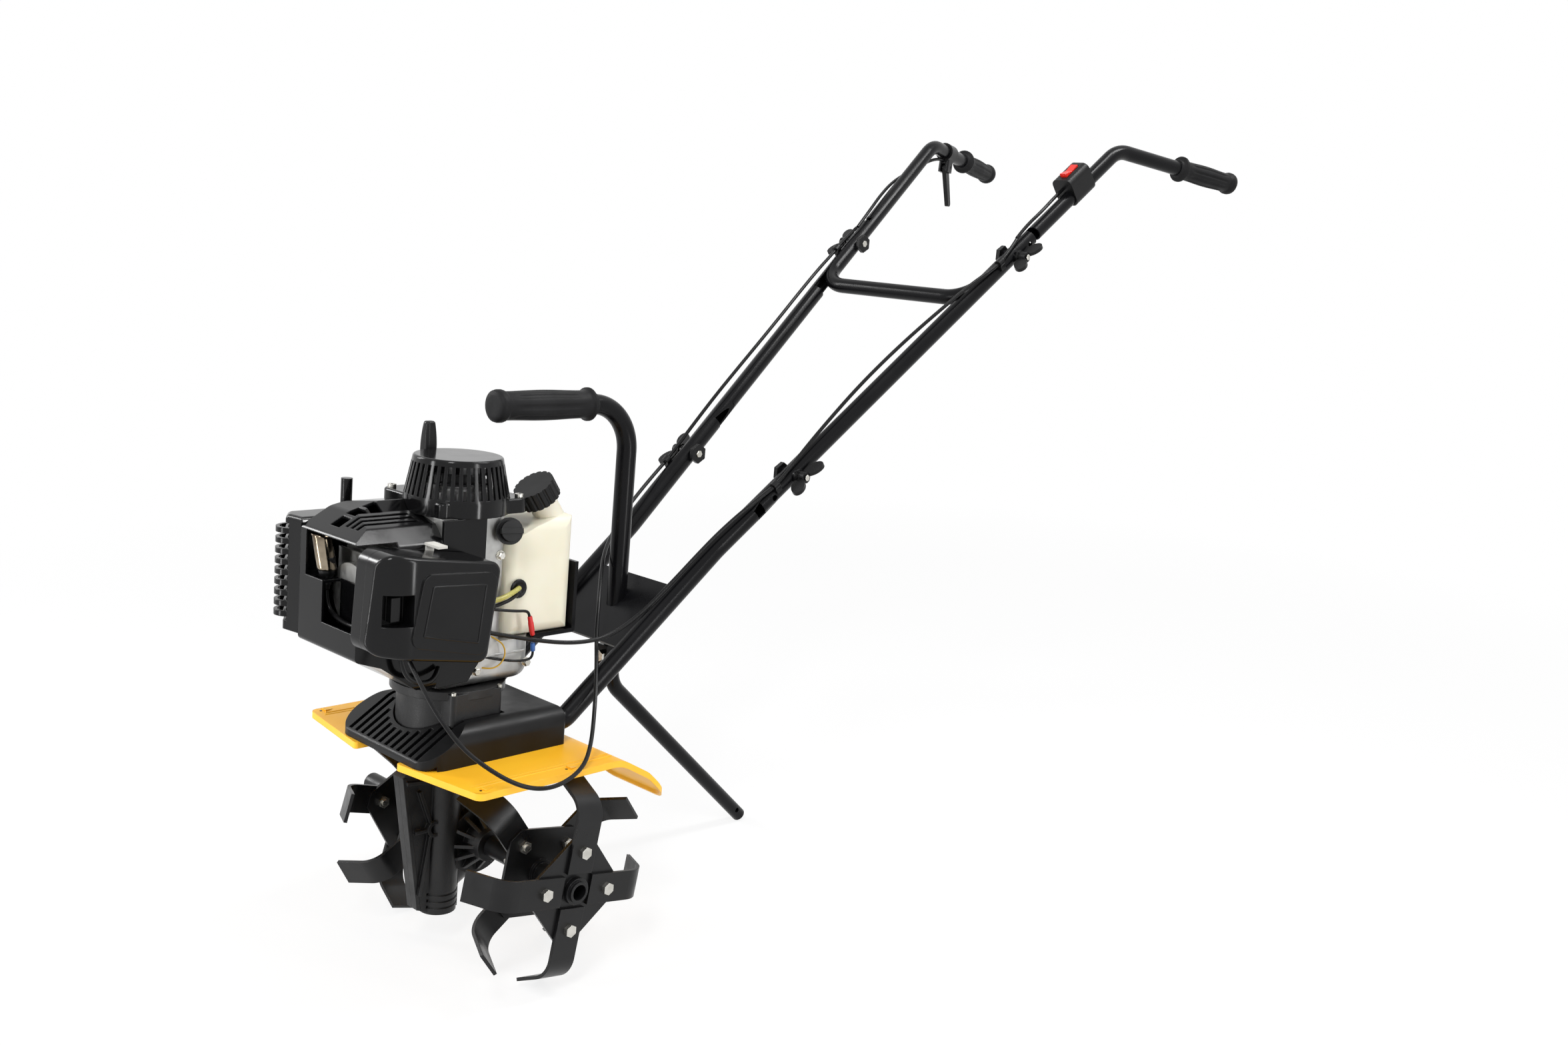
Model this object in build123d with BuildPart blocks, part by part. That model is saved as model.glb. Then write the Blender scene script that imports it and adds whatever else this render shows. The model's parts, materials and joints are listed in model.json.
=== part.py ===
from build123d import *
import os
from math import acos, cos, hypot, pi, radians, sin, tan

os.makedirs("parts", exist_ok=True)

# All sizes are in millimetres, in the machine's own level frame: X forward, Y to the operator's
# left, Z up, origin at the middle of the tine axle. The last section leans the whole machine
# back onto its tines and drag bar, and centres it over the ground.

# Stance
LEAN = 4.0

# Fits
RUN_FIT = 0.05
SEAT_FIT = 0.02
LAP_GAP = 0.3

# Worm drive
GEAR_MODULE = 2.0
WHEEL_TEETH = 30
WORM_PITCH_R = 12.0
WHEEL_PITCH_R = GEAR_MODULE * WHEEL_TEETH / 2
WORM_LEAD = pi * GEAR_MODULE
WORM_TURNS = 7
TOOTH_TOP = 2.0
TOOTH_FOOT = 2.5
TOOTH_PLAY = 0.5
PRESSURE_ANGLE = 20.0
WHEEL_WIDTH = 12.0
WHEEL_HUB_R = 14.0
WHEEL_HUB_WIDTH = 17.0
CRANK_X = WHEEL_PITCH_R + WORM_PITCH_R
WORM_SHAFT_R = 8.0
WORM_FOOT_Z = -77.0

# Tine axle and tines
AXLE_R = 9.0
AXLE_HALF = 165.0
HUB_R = 12.3
HUB_COLLAR_R = 15.5
HUB_INNER_Y = 46.0
HUB_OUTER_Y = 207.0
HUB_PIN_Y = 90.0
HUB_PIN_R = 3.0
STAR_OUTER_Y = 201.4
STAR_INNER_Y = 128.5
STAR_PLATE_T = 4.0
STAR_PLATE_REACH = 64.0
STAR_PLATE_HALF = 9.0
BLADE_T = 4.0
BLADE_WIDTH = 35.0
BLADE_ROOT = 20.0
BLADE_BEND_START = 80.0
BLADE_BEND_R = 30.0
BLADE_BEND = 65.0
BLADE_TIP = 34.0
BLADE_BOLT_CIRCLE = 45.0
TINE_BOLT_R = 4.0
TINE_BOLT_HEAD = 13.0
TINE_BOLT_HEAD_T = 5.3
LEFT_OUTER_ANGLE = 9.9
LEFT_INNER_ANGLE = 55.0
RIGHT_SHIFT = 258.0
RIGHT_TURN = -39.5

# Gearcase
CASE_FOOT_Z = -83.0
CASE_TOP_Z = 140.0
CASE_TOP_R = 47.0
WORM_CASE_R = 22.0
WORM_ROOM_R = 15.2
WORM_ROOM_HALF = 26.0
WHEEL_ROOM_R = 34.5
WHEEL_ROOM_HALF = 9.5
DRUM_R = 42.0
DRUM_HALF = 19.0
BOSS_R = 19.5
BOSS_END_Y = 44.0
WEB_HALF = 9.0
SKEG_TOP = (104.0, 94.0)
SKEG_FOOT = (77.0, -74.0)
SKEG_HALF = 10.0
SKEG_T = 5.0
CASE_RIB_T = 4.0
CASE_RIBS = [((82, 75), (66, 34)), ((86, 25), (70, 25)), ((76, -55), (65, 17)), ((100, 88), (64, 84))]
CASE_SPOKES = (-56, -28, 0, 28, 56, 80, 112, 144, 176, 208, 240, 272)
CASE_EYE = (60.5, 25.6)
CASE_EYE_R = 10.0
AXLE_RING_R = 14.0
AXLE_RING_Y = 24.0
AXLE_RING_W = 10.0
WORM_RING_R = 14.0
WORM_RING_W = 8.0
WORM_RING_TOP_Z = 62.0

# Clutch between gearcase and engine
BELL_R = 58.0
BELL_ROOM_R = 46.0
BELL_FLANGE_R = 66.0
BELL_FLANGE_T = 10.0
BELL_FLOOR_T = 8.0
BELL_CONE = 12.0
BELL_BOX_X = (10.0, 80.0)
BELL_BOX_Y = 64.0
BELL_BOX_Z = (165.0, 203.0)
DRUM_CUP_R = 42.0
DRUM_CUP_T = 3.0
DRUM_FLOOR_Z = 152.0
DRUM_FLOOR_T = 4.0
DRUM_CUP_TOP_Z = 182.0
SHOE_GAP = 1.5
SHOE_Z = (160.0, 180.0)
CRANK_R = 8.0
CRANK_FOOT_Z = 159.0
CRANK_TOP_Z = 428.0

# Hood over the gearcase
HOOD_HALF = 92.0
HOOD_T = 3.0
HOOD_REAR_X = -63.0
HOOD_FRONT_X = 130.0
HOOD_TOP_Z = 173.0
HOOD_SLOPE_X = 72.0
HOOD_LIP_Z = 137.0
HOOD_SHOULDER_R = 21.0
HOOD_NECK_R = 60.0
HOOD_SLOTS = 12
HOOD_SLOT_W = 6.0
HOOD_SLOT_PITCH = 12.0
HOOD_SLOT_DEPTH = 7.0
HOOD_SLOPE_T = 10.0
HOOD_NOSE_R = 28.0

# Fender
FENDER_TOP_Z = 129.0
FENDER_T = 3.0
FENDER_LIP = 8.0
FENDER_KNEE_R = 50.0
FENDER_DROP_R = 40.0
FENDER_HALF = 171.0
FENDER_FRONT_X = 136.0
FENDER_FRONT_OUTER_X = 117.0
FENDER_SLOT_HALF = 41.0
FENDER_SLOT_END_X = -46.0
FENDER_KNEE_X = -84.0
FENDER_DROP = (-128.0, 104.0)
FENDER_TAIL = (-168.0, 67.0)
FENDER_BRIDGE_X = -92.0
FENDER_TAIL_INNER = 52.0
FENDER_TAIL_R = 30.0

# Engine
BLOCK_FOOT_Z = 205.0
BLOCK_TOP_Z = 402.0
BLOCK_STEP_Z = 254.0
BLOCK_REAR_X = -45.0
BLOCK_WAIST_X = 4.0
BLOCK_FRONT_X = 93.0
BLOCK_HALF = 50.0
BARREL_Z = 318.0
BARREL_R = 34.0
BARREL_END_X = 176.0
FIN_COUNT = 7
FIN_SIZE = 88.0
FIN_T = 2.5
CRANK_RING_R = 16.0
CRANK_RING_W = 10.0
SHROUD_REAR_X = 93.0
SHROUD_FRONT_X = 200.0
SHROUD_RIGHT_Y = -62.0
SHROUD_LEFT_Y = 54.0
SHROUD_T = 3.0
SHROUD_LEDGE_Z = 332.0
SIDE_PANEL_X = 38.0
SIDE_PANEL_Z = 335.0
SKIRT = [(96, 212), (54, 214), (27, 253), (45, 262), (96, 262)]
POCKET_BACK_X = 177.6
POCKET_BACK_T = 1.2
POCKET_FOOT_Z = 268.0
WINDOW_X = (134.0, 153.0, 172.0)
WINDOW_SIZE = 15.5
WINDOW_Y = (-24.0, -6.0)
SHROUD_SIDE = [
    (93, 212), (118, 212), (168, 246), (200, 257), (200, 384), (165, 404), (130, 414), (93, 414),
]
SHROUD_SIDE_R = [0, 10, 10, 6, 6, 20, 20, 0]
SHROUD_ARCH = [(-62, 212), (54, 212), (54, 376), (34, 396), (-6, 404), (-22, 414), (-62, 408)]
SHROUD_ARCH_R = [8, 8, 10, 6, 3, 3, 8]
SHROUD_ROOM_SIDE = [
    (96, 215), (117, 215), (167, 249), (197, 259), (197, 382), (164, 401), (129, 411), (96, 411),
]
SHROUD_ROOM_SIDE_R = [0, 10, 10, 3, 3, 20, 20, 0]
SHROUD_ROOM_ARCH = [(-59, 215), (51, 215), (51, 375), (33, 393), (-7, 401), (-23, 411), (-59, 405)]
SHROUD_ROOM_ARCH_R = [5, 5, 7, 6, 3, 3, 5]
GUARD_T = 3.0
GUARD_X = (98.0, 204.0)
GUARD_Y = (-106.0, -62.5)
GUARD_Z = (262.0, 392.0)
GUARD_BARS = 9
MUFFLER_X = (106.0, 184.0)
MUFFLER_Y = (-94.0, -63.0)
MUFFLER_Z = (276.0, 380.0)
COVER_FLANGE_X = (-29.0, 93.0)
COVER_FLANGE_Y = (-78.0, 45.0)
COVER_FLANGE_TOP_Z = 419.0
COVER_CONE_FOOT_R = 59.8
COVER_CONE_TOP_R = 50.4
COVER_TOP_Z = 465.0
COVER_T = 3.0
COVER_SLOTS = 40
COVER_SLOT_W = 4.2
REEL_POST_R = 6.0
REEL_Z = (434.0, 448.0)
REEL_R = 36.0
FLYWHEEL_R = 48.0
FLYWHEEL_Z = (405.0, 412.0)
FLYWHEEL_FINS = 14
FLYWHEEL_TOP_Z = 428.0
PULL_X = 36.0
PULL_Y = -68.0
PULL_SEAT_Z = 440.0
PULL_TOP_Z = 494.0

# Fuel, air and spark
TANK_REAR_X = -102.0
TANK_FRONT_X = 0.0
TANK_HALF = 46.0
TANK_TOP_Z = 396.0
TANK_T = 2.5
NECK_R = 17.0
NECK_TILT = 35.0
FUEL_CAP_R = 25.0
FUEL_CAP_T = 22.0
FUEL_CAP_SEAT = (-63.0, 20.0, 411.0)
STRAP_T = 5.0
STRAP_HALF = 44.0
STRAP_TOP_Z = 336.0
FILLER_SEAT = (10.0, 57.0, 385.0)
FILLER_AXIS = (0.30, 0.93, 0.21)
FILLER_R = 15.5
FILLER_T = 11.0
FILLER_STEM_R = 9.0
FILTER_BACK_Y = 57.0
FILTER_SPLIT_Y = 74.0
FILTER_FACE_Y = 112.0
FILTER_T = 2.5
FILTER_PANEL_T = 2.0
FILTER_NOSE_X = 212.0
FILTER_NOSE_R = 48.0
FILTER_SIDE = [(71, 252), (209, 275), (203, 384), (57, 364)]
FILTER_SIDE_R = [12, 16, 16, 12]
FILTER_PANEL = [(75, 262), (172, 284), (158, 361), (64, 355)]
CARB_X = 132.0
CARB_Z = 322.0
CHOKE_X = 114.0
CHOKE_Z = 350.0
CHOKE_TOP_Z = 381.0
PLUG_X = 186.0
PLUG_Y = -30.0
PLUG_SHIELD_R = 10.5
PLUG_SHIELD_Z = (340.0, 379.0)
PLUG_BOOT_Z = 318.0

# Tube frame
TUBE_R = 12.5
MID_R = 11.5
TUBE_T = 2.0
BAR_R = 11.0
BAR_T = 2.0
TUBE_KNEE = (-71.4, 76.0, 154.0)
TUBE_SPLAY = (-300.4, 82.0, 341.2)
JOINT_LOW = (-415.0, 97.2, 434.9)
JOINT_HIGH = (-791.6, 147.3, 742.8)
LOWER_OVER = 63.0
LOWER_LAP = 80.0
MID_UNDER = 65.0
MID_LAP_LOW = 105.0
MID_LAP_HIGH = 124.0
MID_OVER = 45.0
BAR_LAP = 55.0
BAR_CORNER = 104.0
BAR_KNEE = (-1000.0, 174.8, 913.2)
BAR_END = (-1247.9, 236.6, 887.9)
BAR_KNEE_R = 48.0
BAR_CORNER_R = 45.0
LAP_FLAT = 24.0
PAD_R = 8.0
PAD_SINK = 4.0
PAD_RISE = 1.6
JOINT_BOLT_R = 4.0
JOINT_HEAD = 24.0
JOINT_HEAD_T = 6.0
LIFT_X = -211.0
LIFT_FOOT_Z = 180.0
LIFT_TOP_Z = 519.5
LIFT_BEND_R = 60.0
LIFT_END_X = -8.0
LIFT_BORE_R = 9.55
LIFT_GRIP_R = 18.5
LIFT_GRIP_X = (-150.0, -2.0)
DRAG_R = 9.5
DRAG_TOP_Z = 330.0
DRAG_KNEE_Z = 156.0
DRAG_BEND_R = 40.0
DRAG_SLOPE = 42.2
DRAG_HOLE_R = 3.5
DRAG_HOLE_BACK = 18.0
PLATE_T = 4.0
PLATE_X = (-160.0, -244.0)
GRIP_R = 16.0
GRIP_LENGTH = 129.0
GRIP_FLANGE_R = 19.5
GRIP_FLANGE_T = 4.0
WING_FLANGE_R = 9.5
WING_HUB_R = 7.5
WING_HUB_T = 14.0
WING_SPAN = 42.0
WING_HEIGHT = 19.0
WING_T = 5.0
SWITCH_BACK = 168.0
SWITCH_LENGTH = 46.0
SWITCH_WIDTH = 36.0
SWITCH_HEIGHT = 44.0
SWITCH_SHIFT = (5.0, 9.0)
ROCKER_RISE = 27.0
ROCKER_LENGTH = 28.0
ROCKER_WIDTH = 12.0
ROCKER_PIN_R = 2.0
LEVER_AHEAD = 64.0
LEVER_DROP = 24.0
LEVER_T = 7.0
LEVER_TIP = (31.0, -56.0)
LEVER_PIN_R = 2.5
CLAMP_WIDTH = 26.0
CLIP_R = 5.5
CLIP_WIDTH = 9.0
CLIP_OUT = 10.0
CLIP_SINK = 2.8
CABLE_GAP = 0.8
CLIP_LOW_BACK = 35.0
CLIP_HIGH_BACK = 35.0

# Cables
CABLE_R = 2.5
LEAD_R = 2.5
HOSE_R = 3.0
SPARK_R = 2.6
THROTTLE_LOOP = [
    (158, 92, 262), (154.6, 110, 240), (143.9, 130, 207.5), (128.5, 150, 178), (110.8, 167, 158.9),
    (84, 184, 139), (54, 192, 128), (20, 189, 126), (-20.6, 175, 132), (-50.7, 152, 145), (-84.6, 116, 172),
    (-114.8, 80, 213), (-132, 56, 245), (-150, 36, 274), (-176.6, 6, 303), (-206, -24, 326), (-252, -55, 352),
    (-306, -80, 384),
]
STOP_RUN = [
    (31, 58, 269), (-23, 66, 255), (-85, 74, 244), (-135, 78, 247), (-185, 80, 273), (-228, 82, 306),
    (-267, 84, 338), (-300, 88, 366), (-338, 96, 396),
]
MID_SLACK = [(35, 20, 6), (95, 24, 3), (155, 26, 0), (215, 26, -1), (275, 25, 0), (335, 23, 3), (395, 20, 6)]
MID_CABLE_OVER = 18.0
CABLE_CROSS_OUT = 1.6
SWITCH_RUN = [(20, 16.5, CABLE_CROSS_OUT), (45, 19, 0), (85, 19, 1)]
LEVER_RUN = [(20, 16.5, CABLE_CROSS_OUT), (60, 18, 2), (110, 14, 10), (160, 5, 17), (210, -9, 15)]
FUEL_RUN = [(-16, 48.7, 314), (4, 60, 311), (30, 62, 306), (60, 53.6, 302), (88, 53.5, 300)]
BREATHER_RUN = [
    (152, 66, 261), (149, 68, 243), (137, 70.5, 230), (119, 70, 226), (104, 63.5, 230), (97, 57.6, 238),
]
SPARK_RUN = [
    (186, -30, 317.8), (185.5, -29, 303), (184.5, -20, 293), (183.5, 0, 287.5), (182, 23, 286),
    (180.5, 46, 287),
]

pieces = []


def finish(builder, name):
    """Label a finished piece and put it on the list that is stood up and written at the end."""
    builder.part.label = name
    pieces.append(builder.part)


def block(x0, x1, y0, y1, z0, z1, mode=Mode.ADD):
    """A block between two corners."""
    with Locations(((x0 + x1) / 2, (y0 + y1) / 2, (z0 + z1) / 2)):
        Box(abs(x1 - x0), abs(y1 - y0), abs(z1 - z0), mode=mode)


def rod(start, direction, radius, length, mode=Mode.ADD):
    """A round bar from a start point along a direction."""
    with Locations(Plane(start, z_dir=direction)):
        Cylinder(radius, length, align=(Align.CENTER, Align.CENTER, Align.MIN), mode=mode)


def along(start, direction, distance):
    """The point at a distance from a start point along a unit direction."""
    return tuple(s + distance * d for s, d in zip(start, direction))


def unit(start, end):
    """The unit direction between two points."""
    gap = [b - a for a, b in zip(start, end)]
    size = hypot(*gap)
    return tuple(g / size for g in gap)


def other_side(point):
    """The same point on the machine's other side."""
    return (point[0], -point[1], point[2])


def swept(points, radii, outer, inner=0.0):
    """A round bar or tube along straight runs joined by bends."""
    with BuildLine() as route:
        FilletPolyline(*points, radius=radii)
    start = Plane(route.line @ 0, z_dir=route.line % 0)
    with BuildSketch(start) as ring:
        Circle(outer)
        if inner:
            Circle(inner, mode=Mode.SUBTRACT)
    with BuildPart() as bar:
        sweep(ring.sketch, path=route.line, transition=Transition.ROUND)
    return bar.part


def profile(plane, points, radii, inset=0.0):
    """A flat outline through points, each corner rounded by its own radius, or drawn in by a wall."""
    with BuildSketch(plane) as outline:
        with BuildLine():
            FilletPolyline(*points, radius=radii, close=True)
        make_face()
        if inset:
            offset(amount=-inset, kind=Kind.INTERSECTION, mode=Mode.REPLACE)
    return outline.sketch


def crossed(first, second):
    """The solid that has one outline seen from one side and another from the next."""
    with BuildPart() as solid:
        extrude(first, amount=400, both=True)
        extrude(second, amount=400, both=True, mode=Mode.INTERSECT)
    return solid.part


def bend_radii(points):
    """The largest smooth bend at each inner point of a cable's route."""
    radii = []
    for before, here, after in zip(points, points[1:], points[2:]):
        run_in = hypot(*[b - a for a, b in zip(before, here)])
        run_out = hypot(*[b - a for a, b in zip(here, after)])
        into = unit(before, here)
        out = unit(here, after)
        cosine = sum(a * b for a, b in zip(into, out))
        radii.append(0.45 * min(run_in, run_out) / tan(acos(cosine) / 2))
    return radii


def cable(points, radius):
    """A cable along a route of points."""
    return swept(points, bend_radii(points), radius)


# Tine axle
with BuildPart() as tine_shaft:
    rod((0, -AXLE_HALF, 0), (0, 1, 0), AXLE_R, 2 * AXLE_HALF)
    chamfer(tine_shaft.edges().filter_by(GeomType.CIRCLE), 1.0)
    for side in (-1, 1):
        rod((-HUB_R, side * HUB_PIN_Y, 0), (1, 0, 0), HUB_PIN_R + RUN_FIT, 2 * HUB_R, Mode.SUBTRACT)
finish(tine_shaft, "tine_shaft")

# Worm wheel: tooth gaps lie along the worm's thread where the two meet
THREAD_SLOPE = WORM_LEAD / (2 * pi * WORM_PITCH_R)
GAP_PLANE = Plane((WHEEL_PITCH_R, 0, 0), x_dir=(1, 0, 0), z_dir=(0, -1, THREAD_SLOPE))
FLANK = tan(radians(PRESSURE_ANGLE))
GAP_HALF = WORM_LEAD / 4 + TOOTH_PLAY / 2
GAP_OUT = TOOTH_TOP + 1.0
with BuildPart() as wheel_gap:
    with BuildSketch(GAP_PLANE):
        with BuildLine():
            Polyline(
                (-TOOTH_FOOT, -GAP_HALF + TOOTH_FOOT * FLANK),
                (GAP_OUT, -GAP_HALF - GAP_OUT * FLANK),
                (GAP_OUT, GAP_HALF + GAP_OUT * FLANK),
                (-TOOTH_FOOT, GAP_HALF - TOOTH_FOOT * FLANK),
                close=True,
            )
        make_face()
    extrude(amount=WHEEL_WIDTH, both=True)
with BuildPart() as worm_wheel:
    rod((0, -WHEEL_WIDTH / 2, 0), (0, 1, 0), WHEEL_PITCH_R + TOOTH_TOP, WHEEL_WIDTH)
    add(
        [wheel_gap.part.rotate(Axis.Y, tooth * 360 / WHEEL_TEETH) for tooth in range(WHEEL_TEETH)],
        mode=Mode.SUBTRACT,
    )
    rod((0, -WHEEL_HUB_WIDTH / 2, 0), (0, 1, 0), WHEEL_HUB_R, WHEEL_HUB_WIDTH)
    rod((0, -WHEEL_HUB_WIDTH / 2, 0), (0, 1, 0), AXLE_R + SEAT_FIT, WHEEL_HUB_WIDTH, Mode.SUBTRACT)
finish(worm_wheel, "worm_wheel")

# Worm with its long shaft up into the clutch
WORM_ROOT_R = WORM_PITCH_R - TOOTH_FOOT
WORM_HALF = WORM_LEAD * WORM_TURNS / 2
THREAD_HALF = WORM_LEAD / 4 - TOOTH_PLAY / 2
THREAD_SINK = 0.8
with BuildPart() as worm_shaft:
    rod((CRANK_X, 0, WORM_FOOT_Z), (0, 0, 1), WORM_SHAFT_R, DRUM_FLOOR_Z + DRUM_FLOOR_T - WORM_FOOT_Z)
    rod((CRANK_X, 0, -WORM_HALF - 3), (0, 0, 1), WORM_ROOT_R, 2 * WORM_HALF + 6)
    with BuildLine() as helix:
        Helix(WORM_LEAD, 2 * WORM_HALF, WORM_ROOT_R, center=(CRANK_X, 0, -WORM_HALF))
    with BuildSketch(Plane(helix.line @ 0, x_dir=(1, 0, 0), z_dir=helix.line % 0)):
        with BuildLine():
            Polyline(
                (-THREAD_SINK, -THREAD_HALF - (TOOTH_FOOT + THREAD_SINK) * FLANK),
                (TOOTH_FOOT + TOOTH_TOP, -THREAD_HALF + TOOTH_TOP * FLANK),
                (TOOTH_FOOT + TOOTH_TOP, THREAD_HALF - TOOTH_TOP * FLANK),
                (-THREAD_SINK, THREAD_HALF + (TOOTH_FOOT + THREAD_SINK) * FLANK),
                close=True,
            )
        make_face()
    sweep(path=helix.line, is_frenet=True)
finish(worm_shaft, "worm_shaft")

# Clutch drum on the worm shaft
with BuildPart() as clutch_drum:
    rod((CRANK_X, 0, DRUM_FLOOR_Z), (0, 0, 1), DRUM_CUP_R, DRUM_CUP_TOP_Z - DRUM_FLOOR_Z)
    rod(
        (CRANK_X, 0, DRUM_FLOOR_Z + DRUM_FLOOR_T),
        (0, 0, 1),
        DRUM_CUP_R - DRUM_CUP_T,
        DRUM_CUP_TOP_Z - DRUM_FLOOR_Z,
        Mode.SUBTRACT,
    )
    rod((CRANK_X, 0, DRUM_FLOOR_Z), (0, 0, 1), WORM_SHAFT_R + SEAT_FIT, DRUM_FLOOR_T, Mode.SUBTRACT)
finish(clutch_drum, "clutch_drum")

# Clutch shoes on the crankshaft
SHOE_R = DRUM_CUP_R - DRUM_CUP_T - SHOE_GAP
with BuildPart() as clutch_shoes:
    with BuildSketch(Plane((CRANK_X, 0, SHOE_Z[0]))):
        Circle(SHOE_R)
        Rectangle(6, 2 * SHOE_R, mode=Mode.SUBTRACT)
        Circle(18, mode=Mode.SUBTRACT)
        Circle(15)
        Rectangle(2 * SHOE_R - 8, 10)
        Circle(CRANK_R + SEAT_FIT, mode=Mode.SUBTRACT)
    extrude(amount=SHOE_Z[1] - SHOE_Z[0])
finish(clutch_shoes, "clutch_shoes")

# Crankshaft and fan flywheel
with BuildPart() as crankshaft:
    rod((CRANK_X, 0, CRANK_FOOT_Z), (0, 0, 1), CRANK_R, CRANK_TOP_Z - CRANK_FOOT_Z)
    chamfer(crankshaft.edges().filter_by(GeomType.CIRCLE), 1.0)
finish(crankshaft, "crankshaft")

with BuildPart() as flywheel:
    with BuildSketch(Plane((CRANK_X, 0, FLYWHEEL_Z[0]))):
        Circle(FLYWHEEL_R)
    extrude(amount=FLYWHEEL_Z[1] - FLYWHEEL_Z[0])
    with BuildSketch(Plane((CRANK_X, 0, FLYWHEEL_Z[1]))):
        with PolarLocations(FLYWHEEL_R - 10, FLYWHEEL_FINS):
            Rectangle(18, 3, rotation=25)
        Circle(17)
    extrude(amount=FLYWHEEL_TOP_Z - FLYWHEEL_Z[1])
    rod((CRANK_X, 0, FLYWHEEL_Z[0]), (0, 0, 1), CRANK_R + SEAT_FIT, 40, Mode.SUBTRACT)
finish(flywheel, "flywheel")

# Rings the three shafts run in
with BuildPart() as bearings:
    for side in (-1, 1):
        near = side * AXLE_RING_Y
        rod((0, near, 0), (0, side, 0), AXLE_RING_R, AXLE_RING_W)
        rod((0, near, 0), (0, side, 0), AXLE_R + RUN_FIT, AXLE_RING_W, Mode.SUBTRACT)
    for foot in (WORM_FOOT_Z - 1, WORM_RING_TOP_Z):
        rod((CRANK_X, 0, foot), (0, 0, 1), WORM_RING_R, WORM_RING_W)
        rod((CRANK_X, 0, foot), (0, 0, 1), WORM_SHAFT_R + RUN_FIT, WORM_RING_W, Mode.SUBTRACT)
    for foot in (BLOCK_FOOT_Z + 4, BLOCK_TOP_Z - 4 - CRANK_RING_W):
        rod((CRANK_X, 0, foot), (0, 0, 1), CRANK_RING_R, CRANK_RING_W)
        rod((CRANK_X, 0, foot), (0, 0, 1), CRANK_R + RUN_FIT, CRANK_RING_W, Mode.SUBTRACT)
finish(bearings, "bearings")

# Gearcase: the left half, then its mirror image
with BuildPart() as gearcase_left:
    with BuildSketch(Plane.XZ):
        Circle(DRUM_R)
        with BuildLine():
            Polyline(
                (CRANK_X, CASE_TOP_Z),
                (CRANK_X + 18, CASE_TOP_Z),
                SKEG_TOP,
                SKEG_FOOT,
                (CRANK_X + 14, CASE_FOOT_Z),
                (CRANK_X - WORM_CASE_R, CASE_FOOT_Z),
                (CRANK_X - WORM_CASE_R, 0),
                (-DRUM_R - 2, 0),
            )
            ThreePointArc((-DRUM_R - 2, 0), (-22, 62), (CRANK_X - WORM_CASE_R, 98))
            Polyline((CRANK_X - WORM_CASE_R, 98), (CRANK_X - WORM_CASE_R, CASE_TOP_Z), (CRANK_X, CASE_TOP_Z))
        make_face()
    extrude(amount=-WEB_HALF)
    with BuildSketch(Plane.XZ):
        Circle(DRUM_R)
    extrude(amount=-DRUM_HALF)
    with BuildSketch(Plane.XZ.offset(-DRUM_HALF)):
        Circle(BOSS_R + 3)
    extrude(amount=-(BOSS_END_Y - DRUM_HALF), taper=7)
    rod((CRANK_X, 0, CASE_FOOT_Z), (0, 0, 1), WORM_CASE_R, CASE_TOP_Z - CASE_FOOT_Z)
    rod((CRANK_X, 0, FENDER_TOP_Z), (0, 0, 1), CASE_TOP_R, CASE_TOP_Z - FENDER_TOP_Z)
    for turn in CASE_SPOKES:
        spoke = (cos(radians(turn)), 0, sin(radians(turn)))
        with BuildSketch(Plane((0, 0, 0), x_dir=spoke, z_dir=(-spoke[2], 0, spoke[0]))):
            with BuildLine():
                Polyline((12, DRUM_HALF - 2), (DRUM_R - 2, DRUM_HALF - 2), (DRUM_R - 6, DRUM_HALF + 4),
                         (BOSS_R - 1, BOSS_END_Y - 6), (12, BOSS_END_Y - 6), close=True)
            make_face()
        extrude(amount=CASE_RIB_T / 2, both=True)
    with BuildSketch(Plane.XZ):
        with BuildLine():
            Polyline(SKEG_TOP, SKEG_FOOT, (SKEG_FOOT[0] - SKEG_T, SKEG_FOOT[1]),
                     (SKEG_TOP[0] - SKEG_T, SKEG_TOP[1]), close=True)
        make_face()
    extrude(amount=-SKEG_HALF)
    with BuildSketch(Plane.XZ):
        for top, foot in CASE_RIBS:
            middle = ((top[0] + foot[0]) / 2, (top[1] + foot[1]) / 2)
            length = hypot(top[0] - foot[0], top[1] - foot[1])
            lean = Vector(1, 0, 0).get_signed_angle(Vector(top[0] - foot[0], top[1] - foot[1], 0))
            with Locations(Location(middle)):
                Rectangle(length, CASE_RIB_T, rotation=-lean)
    extrude(amount=-(WEB_HALF + 5))
    with BuildSketch(Plane.XZ):
        with Locations(CASE_EYE):
            Circle(CASE_EYE_R)
            Circle(CASE_EYE_R - 4, mode=Mode.SUBTRACT)
    extrude(amount=-(WEB_HALF + 7))
    split(bisect_by=Plane.XZ, keep=Keep.BOTTOM)
    for groove in (-58, -66, -74):
        with BuildSketch(Plane.XZ):
            with Locations((CRANK_X - WORM_CASE_R, groove)):
                Rectangle(2.4, 3.0)
        revolve(axis=Axis((CRANK_X, 0, 0), (0, 0, 1)), mode=Mode.SUBTRACT)
    rod((CRANK_X, 0, -WORM_ROOM_HALF), (0, 0, 1), WORM_ROOM_R, 2 * WORM_ROOM_HALF, Mode.SUBTRACT)
    rod((CRANK_X, 0, WORM_FOOT_Z - 1), (0, 0, 1), WORM_RING_R + SEAT_FIT, CASE_TOP_Z - WORM_FOOT_Z + 1,
        Mode.SUBTRACT)
    rod((0, 0, 0), (0, 1, 0), WHEEL_ROOM_R, WHEEL_ROOM_HALF, Mode.SUBTRACT)
    rod((0, 0, 0), (0, 1, 0), AXLE_R + 0.6, BOSS_END_Y, Mode.SUBTRACT)
    ring_depth = AXLE_RING_Y + AXLE_RING_W - WHEEL_ROOM_HALF
    rod((0, WHEEL_ROOM_HALF, 0), (0, 1, 0), AXLE_RING_R + SEAT_FIT, ring_depth, Mode.SUBTRACT)
finish(gearcase_left, "gearcase_left")

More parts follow.
